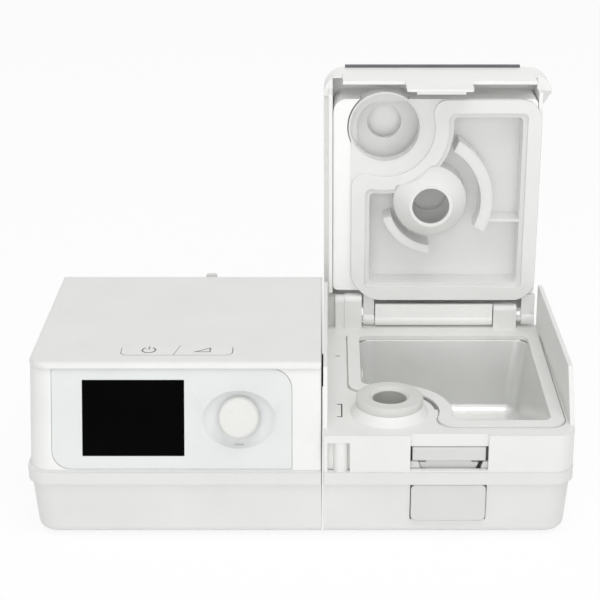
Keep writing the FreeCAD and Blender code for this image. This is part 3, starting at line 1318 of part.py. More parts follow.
def inlet_duct():
    """Straight duct that leads the blower's air through the well wall to the tub."""
    x0, x1 = HUMID_LEFT + DOCK_WALL, RIM_X0 + WELL_INSET
    tube = bar_x(x0, x1, PORT_DEPTH, PORT_HEIGHT, PORT_R)
    return tube.cut(bar_x(x0 - 1, x1 + 1, PORT_DEPTH, PORT_HEIGHT, PORT_R - PORT_WALL))


# ---- humidifier: latch ----
def release_button():
    points = rectangle(BUTTON_X0, BUTTON_X1, BUTTON_LOW, BUTTON_LOW + BUTTON_HEIGHT)
    return front_prism(points, [BUTTON_CORNER_R] * 4, BUTTON_FRONT, BUTTON_FRONT + BUTTON_THICK)


def latch_bar():
    """Bar behind the latch slot, on an arm that reaches down behind the button."""
    top, rear = SLOT_TOP - 0.6, BAR_DEPTH + BAR_THICK
    bar = side_prism([(BAR_DEPTH, top), (BAR_DEPTH, top - BAR_HEIGHT), (rear, top - BAR_HEIGHT), (rear, top)],
                     [1, 0.3, 0.3, 0.3], BUTTON_X0 + 0.5, BUTTON_X1 - 0.5)
    middle = (BUTTON_X0 + BUTTON_X1) / 2
    arm_d = LID_FRONT + TAB_THICK + CATCH_DEPTH + CLEAR
    arm = box(middle - ARM_WIDTH / 2, middle + ARM_WIDTH / 2, arm_d, arm_d + ARM_THICK,
              BUTTON_LOW + 4, SLOT_TOP - 2)
    root = box(middle - ARM_WIDTH / 2, middle + ARM_WIDTH / 2, BUTTON_FRONT + BUTTON_THICK, arm_d + 1,
               BUTTON_LOW + 4, BUTTON_LOW + 12)
    left, right = BUTTON_X0 + APRON_INSET, BUTTON_X1 - APRON_INSET
    apron = front_prism([(left + APRON_SLANT, SLOT_LOW - 1), (right - APRON_SLANT, SLOT_LOW - 1),
                         (right, APRON_TOP), (left, APRON_TOP)], [0] * 4, arm_d, arm_d + ARM_THICK)
    return bar.fuse([arm, root, apron])


# ---- humidifier: lid, drawn closed and then swung open ----
def open_lid(shape):
    """Swing a piece drawn on the closed lid up to the open rest position."""
    swung = shape.copy()
    swung.rotate(Vector(0, y_at(HINGE_DEPTH), HINGE_HEIGHT), Vector(1, 0, 0), -LID_SWING)
    return swung


def lid_cover():
    """Cover of the lid, whose rounded top reaches past the right wall."""
    eave = LID_RIGHT + LID_EAVE
    points = [(LID_LEFT, LID_SIDE_LOW), (LID_RIGHT, LID_SIDE_LOW), (LID_RIGHT, LID_EAVE_LOW),
              (eave, LID_EAVE_LOW), (eave, LID_TOP), (LID_LEFT, LID_TOP)]
    return front_prism(points, [0, 0, 0, LID_EAVE_R, LID_EDGE_R, 0], LID_FRONT, HINGE_DEPTH)


def lid_hollow():
    points = rectangle(LID_LEFT + LID_WALL, LID_RIGHT - LID_WALL, LID_SIDE_LOW - 5, LID_TOP - LID_SKIN)
    return front_prism(points, [0] * 4, LID_FRONT + LID_WALL, HINGE_DEPTH - LID_WALL)


def left_cheek():
    """Cheek that fills the corner in front of the leaning dock wall when the lid is shut."""
    gap = 2 * CLEAR
    low = LID_CORNER_LOW
    points = [(LID_FRONT, low), (dock_front(low) - gap, low), (dock_front(LID_TOP) - gap, LID_TOP),
              (LID_FRONT, LID_TOP)]
    return side_prism(points, [0] * 4, HUMID_LEFT, LID_LEFT + LID_WALL)


def right_cheek():
    """Cheek in front of the fin, narrower towards the back."""
    low, inner = LID_CORNER_LOW, LID_RIGHT - LID_WALL
    side = side_prism([(LID_FRONT, low), (CHEEK_FOOT, low), (CHEEK_HEAD, LID_TOP), (LID_FRONT, LID_TOP)],
                      [0] * 4, inner, HUMID_RIGHT)
    plan = [(inner, LID_FRONT), (HUMID_RIGHT, LID_FRONT), (HUMID_RIGHT, CHEEK_FOOT),
            (LID_RIGHT + LID_EAVE, CHEEK_HEAD), (inner, CHEEK_HEAD)]
    return side.common(plan_prism(plan, [0] * 5, low, LID_TOP))


def lid_reliefs():
    """Room in the lid for the towers and hinge arms, and under the side wall for the clear plate."""
    left, front = HUMID_LEFT, RIM_BACK - RIM_BAND
    return [
        box(left, left + TOWER_LEFT[1] + RELIEF_GAP, front, HINGE_DEPTH + 1, 0, TOWER_LEFT[2] + RELIEF_GAP),
        box(left + BARREL[1] + CLEAR, LID_RIGHT + RELIEF_GAP, front, HINGE_DEPTH + 1,
            0, TOWER_RIGHT[2] + RELIEF_GAP),
        box(left, HUMID_RIGHT, HINGE_DEPTH - LID_WALL - 2, HINGE_DEPTH + 1, 0, LID_REAR_LOW),
        box(LID_RIGHT - LID_WALL, LID_RIGHT + 1, LID_FRONT + LID_WALL, HINGE_DEPTH, 0, PLATE_TOP + CLEAR),
    ]


def lid_shell():
    front = LID_FRONT + LID_WALL
    shell = lid_cover().fuse([
        box(HUMID_LEFT, LID_LEFT + 1, LID_FRONT, HINGE_DEPTH, LID_TOP - LID_SKIN, LID_TOP),
        box(HUMID_LEFT, HUMID_RIGHT, LID_FRONT, front, LID_CORNER_LOW, LID_TOP),
        box(HUMID_LEFT + LID_CORNER_WIDTH, HUMID_RIGHT - LID_CORNER_WIDTH, LID_FRONT, front,
            LID_FRONT_LOW, LID_TOP),
        left_cheek(),
        right_cheek(),
    ])
    corners = [box(x, x + LID_CORNER_WIDTH + 1, 0, front + 6, 0, LID_CORNER_LOW)
               for x in (HUMID_LEFT - 1, HUMID_RIGHT - LID_CORNER_WIDTH)]
    tab = front_prism(rectangle(BUTTON_X0 + 0.3, BUTTON_X1 - 1.5, TAB_LOW, LID_FRONT_LOW + 1),
                      [TAB_CORNER_R, TAB_CORNER_R, 0, 0], LID_FRONT, LID_FRONT + TAB_THICK)
    catch = box(BUTTON_X0 + 6, BUTTON_X1 - 6, LID_FRONT + 1, LID_FRONT + TAB_THICK + CATCH_DEPTH,
                TAB_LOW + 0.6, TAB_LOW + 0.6 + CATCH_HEIGHT)
    shell = shell.cut([lid_hollow()] + corners).fuse([tab, catch]).cut(lid_reliefs())
    return open_lid(finish_lid(shell))


def finish_lid(shell):
    """Round the lid's corners and add its hinge barrel and the posts for the inner plate."""
    points = [(HUMID_LEFT, LID_FRONT), (HUMID_RIGHT, LID_FRONT),
              (HUMID_RIGHT, HINGE_DEPTH), (HUMID_LEFT, HINGE_DEPTH)]
    shell = shell.common(plan_prism(points, [CORNER_R, CORNER_R, 1, 1], 0, LID_TOP))
    x0, x1 = (HUMID_LEFT + x for x in BARREL)
    barrel = bar_x(x0, x1, HINGE_DEPTH, HINGE_HEIGHT, KNUCKLE_R)
    web = box(x0, x1, HINGE_DEPTH - LID_WALL, HINGE_DEPTH, HINGE_HEIGHT, LID_REAR_LOW + 1)
    band = box(x0, x1, RIM_BACK + BAND_FRONT_IN, HINGE_DEPTH, BAND_LOW, BAND_LOW + BAND_THICK)
    bore = bar_x(x0 - 1, x1 + 1, HINGE_DEPTH, HINGE_HEIGHT, PIN_R + RUNNING)
    posts = [post(x, d, PLATE_TOP, LID_TOP - LID_SKIN / 2, LID_POST_R) for x, d in lid_posts()]
    return shell.fuse([barrel, web, band] + posts).cut(bore)


def lid_posts():
    """Places of the posts that hold the inner plate."""
    inset = PLATE_INSET + 6
    x0, x1 = RIM_X0 + inset, RIM_X1 - inset
    back = RIM_BACK - 2 * inset
    return [(x1, RIM_FRONT + inset), (x1, back), (x0, back), (x0, back - LINER_POST_PITCH)]


def lid_trim():
    """Dark strip let into the front edge of the lid's top."""
    x0 = HUMID_LEFT + TRIM_LEFT
    strip = box(x0, x0 + TRIM_WIDTH, TRIM_FRONT, TRIM_FRONT + TRIM_LENGTH, LID_TOP, LID_TOP + TRIM_PROUD)
    nose = box(x0, x0 + TRIM_WIDTH, TRIM_FRONT, LID_FRONT, LID_TOP - TRIM_THICK, LID_TOP)
    return open_lid(strip.fuse(nose))


def plate_wire_box(z0, z1):
    """Full rounded outline of the clear inner plate."""
    points = rectangle(RIM_X0 + PLATE_INSET, RIM_X1 - PLATE_INSET,
                       RIM_FRONT + PLATE_INSET, RIM_BACK - PLATE_INSET)
    return plan_prism(points, [PLATE_SIDE_R, PLATE_SIDE_R, PLATE_SIDE_R, PLATE_CORNER_R], z0, z1)


def swirl_vane(vane, inset, z0, z1):
    """Curved hollow rib round the nozzle that sets the air spinning, drawn in by inset."""
    start, end, *radii, width = vane
    turn = degrees(inset / radii[1])
    angles = (start + turn, (start + end) / 2, end - turn)

    def edge(side):
        points = []
        for angle, middle in zip(angles, radii):
            radius = middle + side * (width / 2 - inset)
            points.append(Vector(NOZZLE_CX + radius * cos(radians(angle)),
                                 y_at(NOZZLE_DEPTH) + radius * sin(radians(angle)), z0))
        return points

    return strip(edge(-1), edge(1), z1 - z0)


def chamber_form(grow, low, high):
    """Air chamber over the cuff: a round mouth under a wider rounded square, grown by grow."""
    step = CHAMBER_STEP
    x0, d0 = HUMID_LEFT + CHAMBER_LEFT - grow, CHAMBER_FRONT - grow
    side = CHAMBER_SPAN + 2 * grow
    small = CHAMBER_CORNER_R / 3
    square = plan_prism(rectangle(x0, x0 + side, d0, d0 + side),
                        [CHAMBER_CORNER_R + grow, small, small, small], step - grow, high)
    upper = square.common(post(CUFF_CX, CUFF_DEPTH, step - grow, high, CHAMBER_R + grow))
    mouth = post(CUFF_CX, CUFF_DEPTH, low, step + grow, CUFF_R + CHAMBER_MOUTH_GAP + grow)
    return upper.fuse(mouth)


def hinge_arms():
    """The clear plate's two arms, each ending in a knuckle."""
    arms = []
    for left, right in (ARM_LEFT, ARM_RIGHT):
        x0, x1 = HUMID_LEFT + left, HUMID_LEFT + right
        arms.append(box(x0, x1, RIM_BACK - PLATE_INSET - 3, HINGE_DEPTH, PLATE_LOW, PLATE_TOP + 1.5))
        arms.append(bar_x(x0, x1, HINGE_DEPTH, HINGE_HEIGHT, KNUCKLE_R - 0.4))
    return arms


def lid_inner_plate():
    """Clear moulding over the whole tank: flange, deep pan, nozzle stub, air chamber, vanes, arms."""
    nozzle = (NOZZLE_CX, NOZZLE_DEPTH)
    ceiling = PAN_ROOF - PLATE_THICK
    below = PLATE_LOW - 1
    body = plate_wire_box(PLATE_LOW, PLATE_TOP).fuse([
        notched_prism(PAN_INSET - PLATE_THICK, PLATE_LOW, PAN_ROOF),
        post(*nozzle, PLATE_LOW, PAN_ROOF, NOZZLE_R),
        chamber_form(CHAMBER_WALL, PLATE_LOW, PAN_ROOF),
    ])
    pan = notched_prism(PAN_INSET, below, ceiling).cut(post(*nozzle, below, ceiling, NOZZLE_R))
    throat = post(*nozzle, below, ceiling, NOZZLE_R - NOZZLE_WALL)
    body = body.cut([pan, throat, chamber_form(0, below, ceiling)])
    vanes = [swirl_vane(vane, 0, VANE_LOW, PAN_ROOF) for vane in (RIGHT_VANE, LEFT_VANE)]
    folds = [swirl_vane(vane, VANE_WALL, VANE_LOW + VANE_WALL, PAN_ROOF + 1)
             for vane in (RIGHT_VANE, LEFT_VANE)]
    rib = box(NOZZLE_CX + RIGHT_VANE[4], RIM_X1 - PAN_INSET + 0.5, RIB_DEPTH - RIB_THICK / 2,
              RIB_DEPTH + RIB_THICK / 2, PLATE_LOW, PAN_ROOF)
    holes = [post(*nozzle, ceiling - 1, PAN_ROOF + 1, NOZZLE_HOLE_R),
             post(CUFF_CX, CUFF_DEPTH, ceiling - 1, PAN_ROOF + 1, CHAMBER_HOLE_R),
             bar_x(HUMID_LEFT, HUMID_RIGHT, HINGE_DEPTH, HINGE_HEIGHT, PIN_R + RUNNING)]
    return open_lid(body.fuse([rib] + vanes + hinge_arms()).cut(folds + holes))


def lid_liner():
    """White inner lid round the clear moulding, with a skirt that stands on the skin."""
    x0, x1 = LID_LEFT + LID_WALL + CLEAR, LID_RIGHT - LID_WALL - CLEAR
    d0, d1 = RIM_FRONT + LINER_FRONT_IN, RIM_BACK - LINER_BACK_IN
    low, high = PLATE_TOP + CLEAR, LID_TOP - LID_SKIN
    wall, gap = LINER_WALL, 2 * CLEAR
    radii = [LINER_CORNER_R] + [LINER_SMALL_R] * 3
    tray = plan_prism(rectangle(x0, x1, d0, d1), radii, low, high)
    inside = plan_prism(rectangle(x0 + wall, x1 - wall, d0 + wall, d1 - wall), [r - wall for r in radii],
                        low + PLATE_THICK, high)
    holes = [notched_prism(PAN_INSET - PLATE_THICK - gap, low - 1, low + PLATE_THICK + 1),
             post(NOZZLE_CX, NOZZLE_DEPTH, low - 1, low + PLATE_THICK + 1, NOZZLE_R + gap),
             chamber_form(CHAMBER_WALL + gap, low - 1, PAN_ROOF + gap)]
    holes += [post(x, d, low - 1, low + PLATE_THICK + 1, LID_POST_R + CLEAR) for x, d in lid_posts()]
    return open_lid(tray.cut([inside] + holes))


def hull_prism(r_cuff, r_nozzle, z0, z1):
    """Prism round the cuff's circle and the nozzle's circle, joined by tangents."""
    c, n = (CUFF_CX, CUFF_DEPTH), (NOZZLE_CX, NOZZLE_DEPTH)
    span = sqrt((n[0] - c[0]) ** 2 + (n[1] - c[1]) ** 2)
    along = atan2(n[1] - c[1], n[0] - c[0])
    tilt = acos((r_cuff - r_nozzle) / span)
    a, b = along + tilt, along - tilt
    points = [(c[0] + r_cuff * cos(a), c[1] + r_cuff * sin(a)),
              (c[0] + r_cuff * cos(b), c[1] + r_cuff * sin(b)),
              (n[0] + r_nozzle * cos(b), n[1] + r_nozzle * sin(b)),
              (n[0] + r_nozzle * cos(a), n[1] + r_nozzle * sin(a))]
    tongue = plan_prism(points, [0] * 4, z0, z1)
    return fused([tongue, post(*c, z0, z1, r_cuff), post(*n, z0, z1, r_nozzle)])


def lid_air_channel():
    """Flat duct that lies on the roofs of the nozzle's stub and the chamber and joins them."""
    wall = PLATE_THICK
    r_cuff = CHAMBER_HOLE_R + 2 * wall
    r_nozzle = NOZZLE_HOLE_R + wall
    duct = hull_prism(r_cuff + wall, r_nozzle + wall, PAN_ROOF, CHANNEL_ROOF)
    inside = hull_prism(r_cuff, r_nozzle, PAN_ROOF + wall, CHANNEL_ROOF - wall)
    holes = [post(CUFF_CX, CUFF_DEPTH, PAN_ROOF - 1, PAN_ROOF + wall + 1, CHAMBER_HOLE_R),
             post(NOZZLE_CX, NOZZLE_DEPTH, PAN_ROOF - 1, PAN_ROOF + wall + 1, NOZZLE_HOLE_R)]
    return open_lid(duct.cut([inside] + holes))


def lid_gasket():
    """Soft band under the plate that lands on the tank's rim."""
    z0, z1 = PLATE_LOW - GASKET_THICK, PLATE_LOW
    band = notched_prism(PLATE_INSET + CLEAR, z0, z1).common(plate_wire_box(z0, z1))
    inside = notched_prism(PLATE_INSET + CLEAR + GASKET_WIDTH, z0 - 1, z1 + 1)
    cone = post(NOZZLE_CX, NOZZLE_DEPTH, z0 - 1, z1 + 1, NOZZLE_R + CLEAR)
    return open_lid(band.cut([inside, beside_rim(cone, 0)]))


def beside_rim(shape, wall):
    """Shape flattened on the side where it passes the notch in the tank's rim."""
    reach = NOTCH_R + RIM_BAND + NOZZLE_CLEAR + wall
    return shape.cut(post(CUFF_CX, CUFF_DEPTH, 0, LID_TOP, reach))


def lid_nozzle():
    """Soft cone under the plate, with the air hole at its tip."""
    z1 = PLATE_LOW
    z0 = z1 - NOZZLE_DROP
    outer = taper(NOZZLE_CX, NOZZLE_DEPTH, z0, z1, NOZZLE_TIP_R, NOZZLE_R)
    inner = taper(NOZZLE_CX, NOZZLE_DEPTH, z0 + NOZZLE_WALL, z1,
                  NOZZLE_TIP_R - NOZZLE_WALL, NOZZLE_R - NOZZLE_WALL)
    hole = post(NOZZLE_CX, NOZZLE_DEPTH, z0 - 1, z1, NOZZLE_HOLE_R)
    return open_lid(beside_rim(outer, 0).cut([beside_rim(inner, NOZZLE_WALL), hole]))


def hinge_pins():
    """Two pins, pressed into the towers, that the lid turns on."""
    reach = 12
    left = bar_x(HUMID_LEFT + TOWER_LEFT[0], HUMID_LEFT + BARREL[0] + reach, HINGE_DEPTH, HINGE_HEIGHT, PIN_R)
    right = bar_x(HUMID_LEFT + BARREL[1] - reach, HUMID_LEFT + ARM_RIGHT[1], HINGE_DEPTH, HINGE_HEIGHT, PIN_R)
    return Part.makeCompound([left, right])


# ---- build ----
PARTS = {
    "main_lower_case": main_lower_case,
    "main_upper_case": main_upper_case,
    "front_panel": front_panel,
    "display_glass": display_glass,
    "lcd_module": lcd_module,
    "control_board": control_board,
    "encoder_body": encoder_body,
    "encoder_rotor": encoder_rotor,
    "dial_shaft": dial_shaft,
    "dial_knob": dial_knob,
    "power_key": lambda: key_cap(-1),
    "ramp_key": lambda: key_cap(1),
    "key_board": key_board,
    "key_switches": key_switches,
    "blower_base": blower_base,
    "blower_cover": blower_cover,
    "impeller": impeller,
    "motor_shaft": motor_shaft,
    "blower_motor": blower_motor,
    "blower_mounts": blower_mounts,
    "side_outlet_duct": side_outlet_duct,
    "duct_seal": duct_seal,
    "filter_cover": filter_cover,
    "air_filter": air_filter,
    "main_board": main_board,
    "board_parts": board_parts,
    "dc_inlet": dc_inlet,
    "main_feet": lambda: rubber_feet(MAIN_LEFT, MAIN_RIGHT),
    "main_screws": lambda: case_screws(MAIN_LEFT),
    "humid_lower_case": humid_lower_case,
    "humid_upper_frame": humid_upper_frame,
    "heater_plate": heater_plate,
    "heater_film": heater_film,
    "heater_holder": heater_holder,
    "tank_tub": tank_tub,
    "tank_rim": tank_rim,
    "outlet_cuff": outlet_cuff,
    "outlet_duct": outlet_duct,
    "hose_port": hose_port,
    "inlet_duct": inlet_duct,
    "release_button": release_button,
    "latch_bar": latch_bar,
    "lid_shell": lid_shell,
    "lid_trim": lid_trim,
    "lid_liner": lid_liner,
    "lid_inner_plate": lid_inner_plate,
    "lid_air_channel": lid_air_channel,
    "lid_gasket": lid_gasket,
    "lid_nozzle": lid_nozzle,
    "hinge_pins": hinge_pins,
    "humid_feet": lambda: rubber_feet(HUMID_RIGHT, HUMID_LEFT),
    "humid_screws": lambda: case_screws(HUMID_RIGHT),
}

os.makedirs("parts", exist_ok=True)
for name, make in PARTS.items():
    save(name, make())
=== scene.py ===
from math import cos, pi, radians, sin

import bmesh
import bpy
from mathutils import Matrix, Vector
from mathutils.geometry import tessellate_polygon


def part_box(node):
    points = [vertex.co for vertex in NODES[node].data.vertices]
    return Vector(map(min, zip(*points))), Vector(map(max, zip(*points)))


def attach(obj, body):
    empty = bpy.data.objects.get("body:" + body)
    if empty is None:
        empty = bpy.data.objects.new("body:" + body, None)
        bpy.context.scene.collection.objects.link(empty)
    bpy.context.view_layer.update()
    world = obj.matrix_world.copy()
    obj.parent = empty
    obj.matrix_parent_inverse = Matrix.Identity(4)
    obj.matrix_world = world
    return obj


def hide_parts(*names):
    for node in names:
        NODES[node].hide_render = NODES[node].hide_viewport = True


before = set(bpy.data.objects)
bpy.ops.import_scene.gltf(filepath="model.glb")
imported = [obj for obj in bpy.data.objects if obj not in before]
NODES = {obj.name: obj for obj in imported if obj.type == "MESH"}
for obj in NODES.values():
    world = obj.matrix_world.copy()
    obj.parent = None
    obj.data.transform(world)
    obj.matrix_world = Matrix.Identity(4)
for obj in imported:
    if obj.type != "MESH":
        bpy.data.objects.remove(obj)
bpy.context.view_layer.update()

# All lengths are in metres. Depths are measured back from the belt's front plane.
FRONT_Y = -0.08965
FACE_LEAN = radians(18.12)
FACE_FOOT_DEPTH, FACE_FOOT_Z = 0.003, 0.040
DECK_TOP = 0.0613
CUFF_X, CUFF_DEPTH = 0.0475, 0.0300


def y_at(depth):
    return FRONT_Y + depth


# ---- materials ----
def link(nt, a, b):
    nt.links.new(a, b)


def output_of(nt, kind="OUTPUT_MATERIAL"):
    return next(n for n in nt.nodes if n.type == kind)


def noise(nt, coords, scale, detail):
    """Noise texture in the piece's own coordinates."""
    tex = nt.nodes.new("ShaderNodeTexNoise")
    tex.inputs["Scale"].default_value = scale
    tex.inputs["Detail"].default_value = detail
    link(nt, coords.outputs["Object"], tex.inputs["Vector"])
    return tex.outputs["Fac"]


def spread(nt, value, low, high):
    """Value mapped from noise's usual range to low..high."""
    node = nt.nodes.new("ShaderNodeMapRange")
    node.inputs["From Min"].default_value = 0.3
    node.inputs["From Max"].default_value = 0.7
    node.inputs["To Min"].default_value = low
    node.inputs["To Max"].default_value = high
    link(nt, value, node.inputs["Value"])
    return node.outputs["Result"]


def two_tone(nt, factor, low, high):
    node = nt.nodes.new("ShaderNodeMix")
    node.data_type = "RGBA"
    node.inputs["A"].default_value = (*low, 1)
    node.inputs["B"].default_value = (*high, 1)
    link(nt, spread(nt, factor, 0, 1), node.inputs["Factor"])
    return node.outputs["Result"]


def surface(name, low, high, rough, grain=0.04, grain_scale=2200, patch=35, edge=0.0004, **extra):
    """Moulded or metal surface: slight colour patches, uneven gloss, fine grain and softened edges.

    low and high bound the colour, rough bounds the gloss, and edge is the softened edges' radius.
    """
    mat = bpy.data.materials.new(name)
    mat.use_nodes = True
    nt = mat.node_tree
    shader = nt.nodes["Principled BSDF"]
    coords = nt.nodes.new("ShaderNodeTexCoord")
    link(nt, two_tone(nt, noise(nt, coords, patch, 2), low, high), shader.inputs["Base Color"])
    link(nt, spread(nt, noise(nt, coords, patch * 5, 3), *rough), shader.inputs["Roughness"])
    bump = nt.nodes.new("ShaderNodeBump")
    bump.inputs["Strength"].default_value = grain
    bump.inputs["Distance"].default_value = 0.0001
    link(nt, noise(nt, coords, grain_scale, 2), bump.inputs["Height"])
    if edge:
        bevel = nt.nodes.new("ShaderNodeBevel")
        bevel.samples = 4
        bevel.inputs["Radius"].default_value = edge
        link(nt, bevel.outputs["Normal"], bump.inputs["Normal"])
    link(nt, bump.outputs["Normal"], shader.inputs["Normal"])
    for socket, value in extra.items():
        shader.inputs[socket.replace("_", " ")].default_value = value
    return mat


def see_through(name, low, high, rough, haze, rim, shadow=1.0):
    """Clear or frosted plastic: a share of haze where it is seen square on, and more at its rim.

    shadow scales the haze for the rays that cast shadows, so that more light gets inside.
    """
    mat = surface(name, low, high, rough, grain=0.02, patch=40)
    nt = mat.node_tree
    out = output_of(nt)
    shader = nt.nodes["Principled BSDF"]
    gone = nt.nodes.new("ShaderNodeBsdfTransparent")
    gone.inputs["Color"].default_value = (1, 1, 1, 1)
    facing = nt.nodes.new("ShaderNodeLayerWeight")
    facing.inputs["Blend"].default_value = 0.5
    steep = nt.nodes.new("ShaderNodeMath")
    steep.operation = "POWER"
    steep.inputs[1].default_value = 3
    link(nt, facing.outputs["Facing"], steep.inputs[0])
    share = nt.nodes.new("ShaderNodeMapRange")
    share.inputs["To Min"].default_value = haze
    share.inputs["To Max"].default_value = rim
    link(nt, steep.outputs["Value"], share.inputs["Value"])
    path = nt.nodes.new("ShaderNodeLightPath")
    lit = nt.nodes.new("ShaderNodeMapRange")
    lit.inputs["To Min"].default_value = 1.0
    lit.inputs["To Max"].default_value = shadow
    link(nt, path.outputs["Is Shadow Ray"], lit.inputs["Value"])
    kept = nt.nodes.new("ShaderNodeMath")
    kept.operation = "MULTIPLY"
    link(nt, share.outputs["Result"], kept.inputs[0])
    link(nt, lit.outputs["Result"], kept.inputs[1])
    mix = nt.nodes.new("ShaderNodeMixShader")
    link(nt, kept.outputs["Value"], mix.inputs["Fac"])
    link(nt, gone.outputs["BSDF"], mix.inputs[1])
    link(nt, shader.outputs["BSDF"], mix.inputs[2])
    link(nt, mix.outputs["Shader"], out.inputs["Surface"])
    return mat


def let_light_in(mat, share):
    """Soft translucent rubber: a share of the light comes out on the far side."""
    nt = mat.node_tree
    out = output_of(nt)
    shader = nt.nodes["Principled BSDF"]
    through = nt.nodes.new("ShaderNodeBsdfTranslucent")
    through.inputs["Color"].default_value = (0.92, 0.92, 0.9, 1)
    mix = nt.nodes.new("ShaderNodeMixShader")
    mix.inputs["Fac"].default_value = share
    link(nt, shader.outputs["BSDF"], mix.inputs[1])
    link(nt, through.outputs["BSDF"], mix.inputs[2])
    link(nt, mix.outputs["Shader"], out.inputs["Surface"])
    return mat


MATS = {
    "shell": surface("shell", (0.785, 0.788, 0.77), (0.812, 0.815, 0.797), (0.34, 0.42)),
    "frame": surface("frame", (0.80, 0.803, 0.785), (0.827, 0.83, 0.812), (0.34, 0.42)),
    "lid": surface("lid", (0.885, 0.887, 0.87), (0.91, 0.912, 0.895), (0.34, 0.42)),
    # painted light: the liner is paler than the lid's white plastic, so the lid's deep hollow, where
    # little light reaches, still reads bright
    "liner": surface("liner", (0.955, 0.955, 0.945), (0.97, 0.97, 0.96), (0.34, 0.42)),
    "base": surface("base", (0.74, 0.745, 0.73), (0.77, 0.775, 0.76), (0.38, 0.46)),
    "button": surface("button", (0.665, 0.67, 0.655), (0.695, 0.70, 0.685), (0.38, 0.46), edge=0.0009),
    "panel": surface("panel", (0.705, 0.725, 0.72), (0.735, 0.755, 0.75), (0.42, 0.5)),
    "dial": surface("dial", (0.70, 0.70, 0.68), (0.73, 0.73, 0.71), (0.26, 0.34), edge=0.0008),
    "screen": surface("screen", (0.0006, 0.0006, 0.0008), (0.0012, 0.0012, 0.0014), (0.16, 0.24),
                      grain=0.01, Specular_IOR_Level=0.01),
    "dark": surface("dark", (0.06, 0.06, 0.065), (0.08, 0.08, 0.085), (0.4, 0.5)),
    "board": surface("board", (0.02, 0.12, 0.05), (0.03, 0.16, 0.07), (0.3, 0.4)),
    "parts": surface("parts", (0.02, 0.02, 0.02), (0.05, 0.05, 0.05), (0.4, 0.6)),
    "steel": surface("steel", (0.5, 0.5, 0.52), (0.6, 0.6, 0.62), (0.25, 0.4), Metallic=1.0),
    "inner": surface("inner", (0.95, 0.95, 0.94), (0.965, 0.965, 0.955), (0.42, 0.5)),
    "motor": surface("motor", (0.4, 0.4, 0.42), (0.5, 0.5, 0.52), (0.3, 0.45), Metallic=1.0),
    "rubber": surface("rubber", (0.03, 0.03, 0.03), (0.05, 0.05, 0.05), (0.6, 0.8)),
    "foam": surface("foam", (0.7, 0.72, 0.75), (0.8, 0.82, 0.84), (0.8, 0.95),
                    grain=0.6, grain_scale=900),
    "tub": surface("tub", (0.765, 0.77, 0.755), (0.795, 0.8, 0.785), (0.28, 0.36),
                   grain=0.05, grain_scale=900, Metallic=0.5),
    "rim": surface("rim", (0.80, 0.805, 0.785), (0.83, 0.835, 0.815), (0.3, 0.4)),
    "silicone": let_light_in(surface("silicone", (0.86, 0.865, 0.845), (0.89, 0.895, 0.875), (0.4, 0.5),
                                     edge=0.0006), 0.4),
    "frosted": see_through("frosted", (0.9, 0.905, 0.885), (0.92, 0.925, 0.905), (0.3, 0.42), 0.9, 0.98),
    "clear": see_through("clear", (0.90, 0.905, 0.89), (0.92, 0.925, 0.91), (0.12, 0.2), 0.78, 0.92,
                         shadow=0.3),
    "heater": surface("heater", (0.5, 0.5, 0.5), (0.6, 0.6, 0.6), (0.3, 0.45), Metallic=1.0),
    "film": surface("film", (0.35, 0.12, 0.02), (0.45, 0.18, 0.03), (0.3, 0.4)),
    "trim": surface("trim", (0.10, 0.10, 0.11), (0.13, 0.13, 0.14), (0.3, 0.4)),
    # dark grey print of the keys' signs; the same colour also paints the shade in the gap beside the
    # tank's rim
    "icon_and_gap_shade": surface("icon_and_gap_shade", (0.17, 0.175, 0.17), (0.22, 0.225, 0.22), (0.45, 0.55), edge=0),
    # painted shade: near black, for the shade inside a small slot cut in the deck
    "slot_shade": surface("slot_shade", (0.02, 0.02, 0.02), (0.04, 0.04, 0.04), (0.5, 0.6), edge=0),
    "shade": surface("shade", (0.46, 0.465, 0.46), (0.5, 0.505, 0.5), (0.5, 0.6), edge=0),
}

LOOKS = {
    "shell": ["main_upper_case", "filter_cover", "power_key", "ramp_key"],
    "frame": ["humid_upper_frame", "hinge_pins"],
    "lid": ["lid_shell"],
    "button": ["release_button", "latch_bar"],
    "base": ["main_lower_case", "humid_lower_case"],
    "panel": ["front_panel"],
    "dial": ["dial_knob"],
    "screen": ["display_glass"],
    "dark": ["lcd_module", "encoder_body", "dc_inlet"],
    "board": ["control_board", "key_board", "main_board"],
    "parts": ["board_parts", "key_switches"],
    "steel": ["dial_shaft", "motor_shaft", "main_screws", "humid_screws"],
    "inner": ["encoder_rotor", "blower_base", "blower_cover", "impeller", "side_outlet_duct",
              "inlet_duct", "outlet_duct", "hose_port", "heater_holder"],
    "motor": ["blower_motor"],
    "rubber": ["blower_mounts", "main_feet", "humid_feet"],
    "foam": ["air_filter"],
    "tub": ["tank_tub"],
    "rim": ["tank_rim"],
    "silicone": ["outlet_cuff", "duct_seal"],
    "frosted": ["lid_gasket", "lid_nozzle"],
    "clear": ["lid_inner_plate"],
    "liner": ["lid_liner", "lid_air_channel"],
    "heater": ["heater_plate"],
    "film": ["heater_film"],
    "trim": ["lid_trim"],
}
for look, names in LOOKS.items():
    for name in names:
        NODES[name].data.materials.clear()
        NODES[name].data.materials.append(MATS[look])


# ---- pieces made here ----
def add_piece(name, mesh, look):
    piece = bpy.data.objects.new(name, mesh)
    piece.data.materials.append(MATS[look])
    bpy.context.scene.collection.objects.link(piece)
    return piece


def mesh_of(bm, name):
    """Mesh of a closed form, with its faces turned outwards."""
    bmesh.ops.recalc_face_normals(bm, faces=bm.faces)
    mesh = bpy.data.meshes.new(name)
    bm.to_mesh(mesh)
    bm.free()
    return mesh


MARK_LIFT = 0.00005     # a mark stands this far above the surface, and reaches as far into it
MITRE_LEAST = 0.35      # keeps the corners of a sharp bend from running out


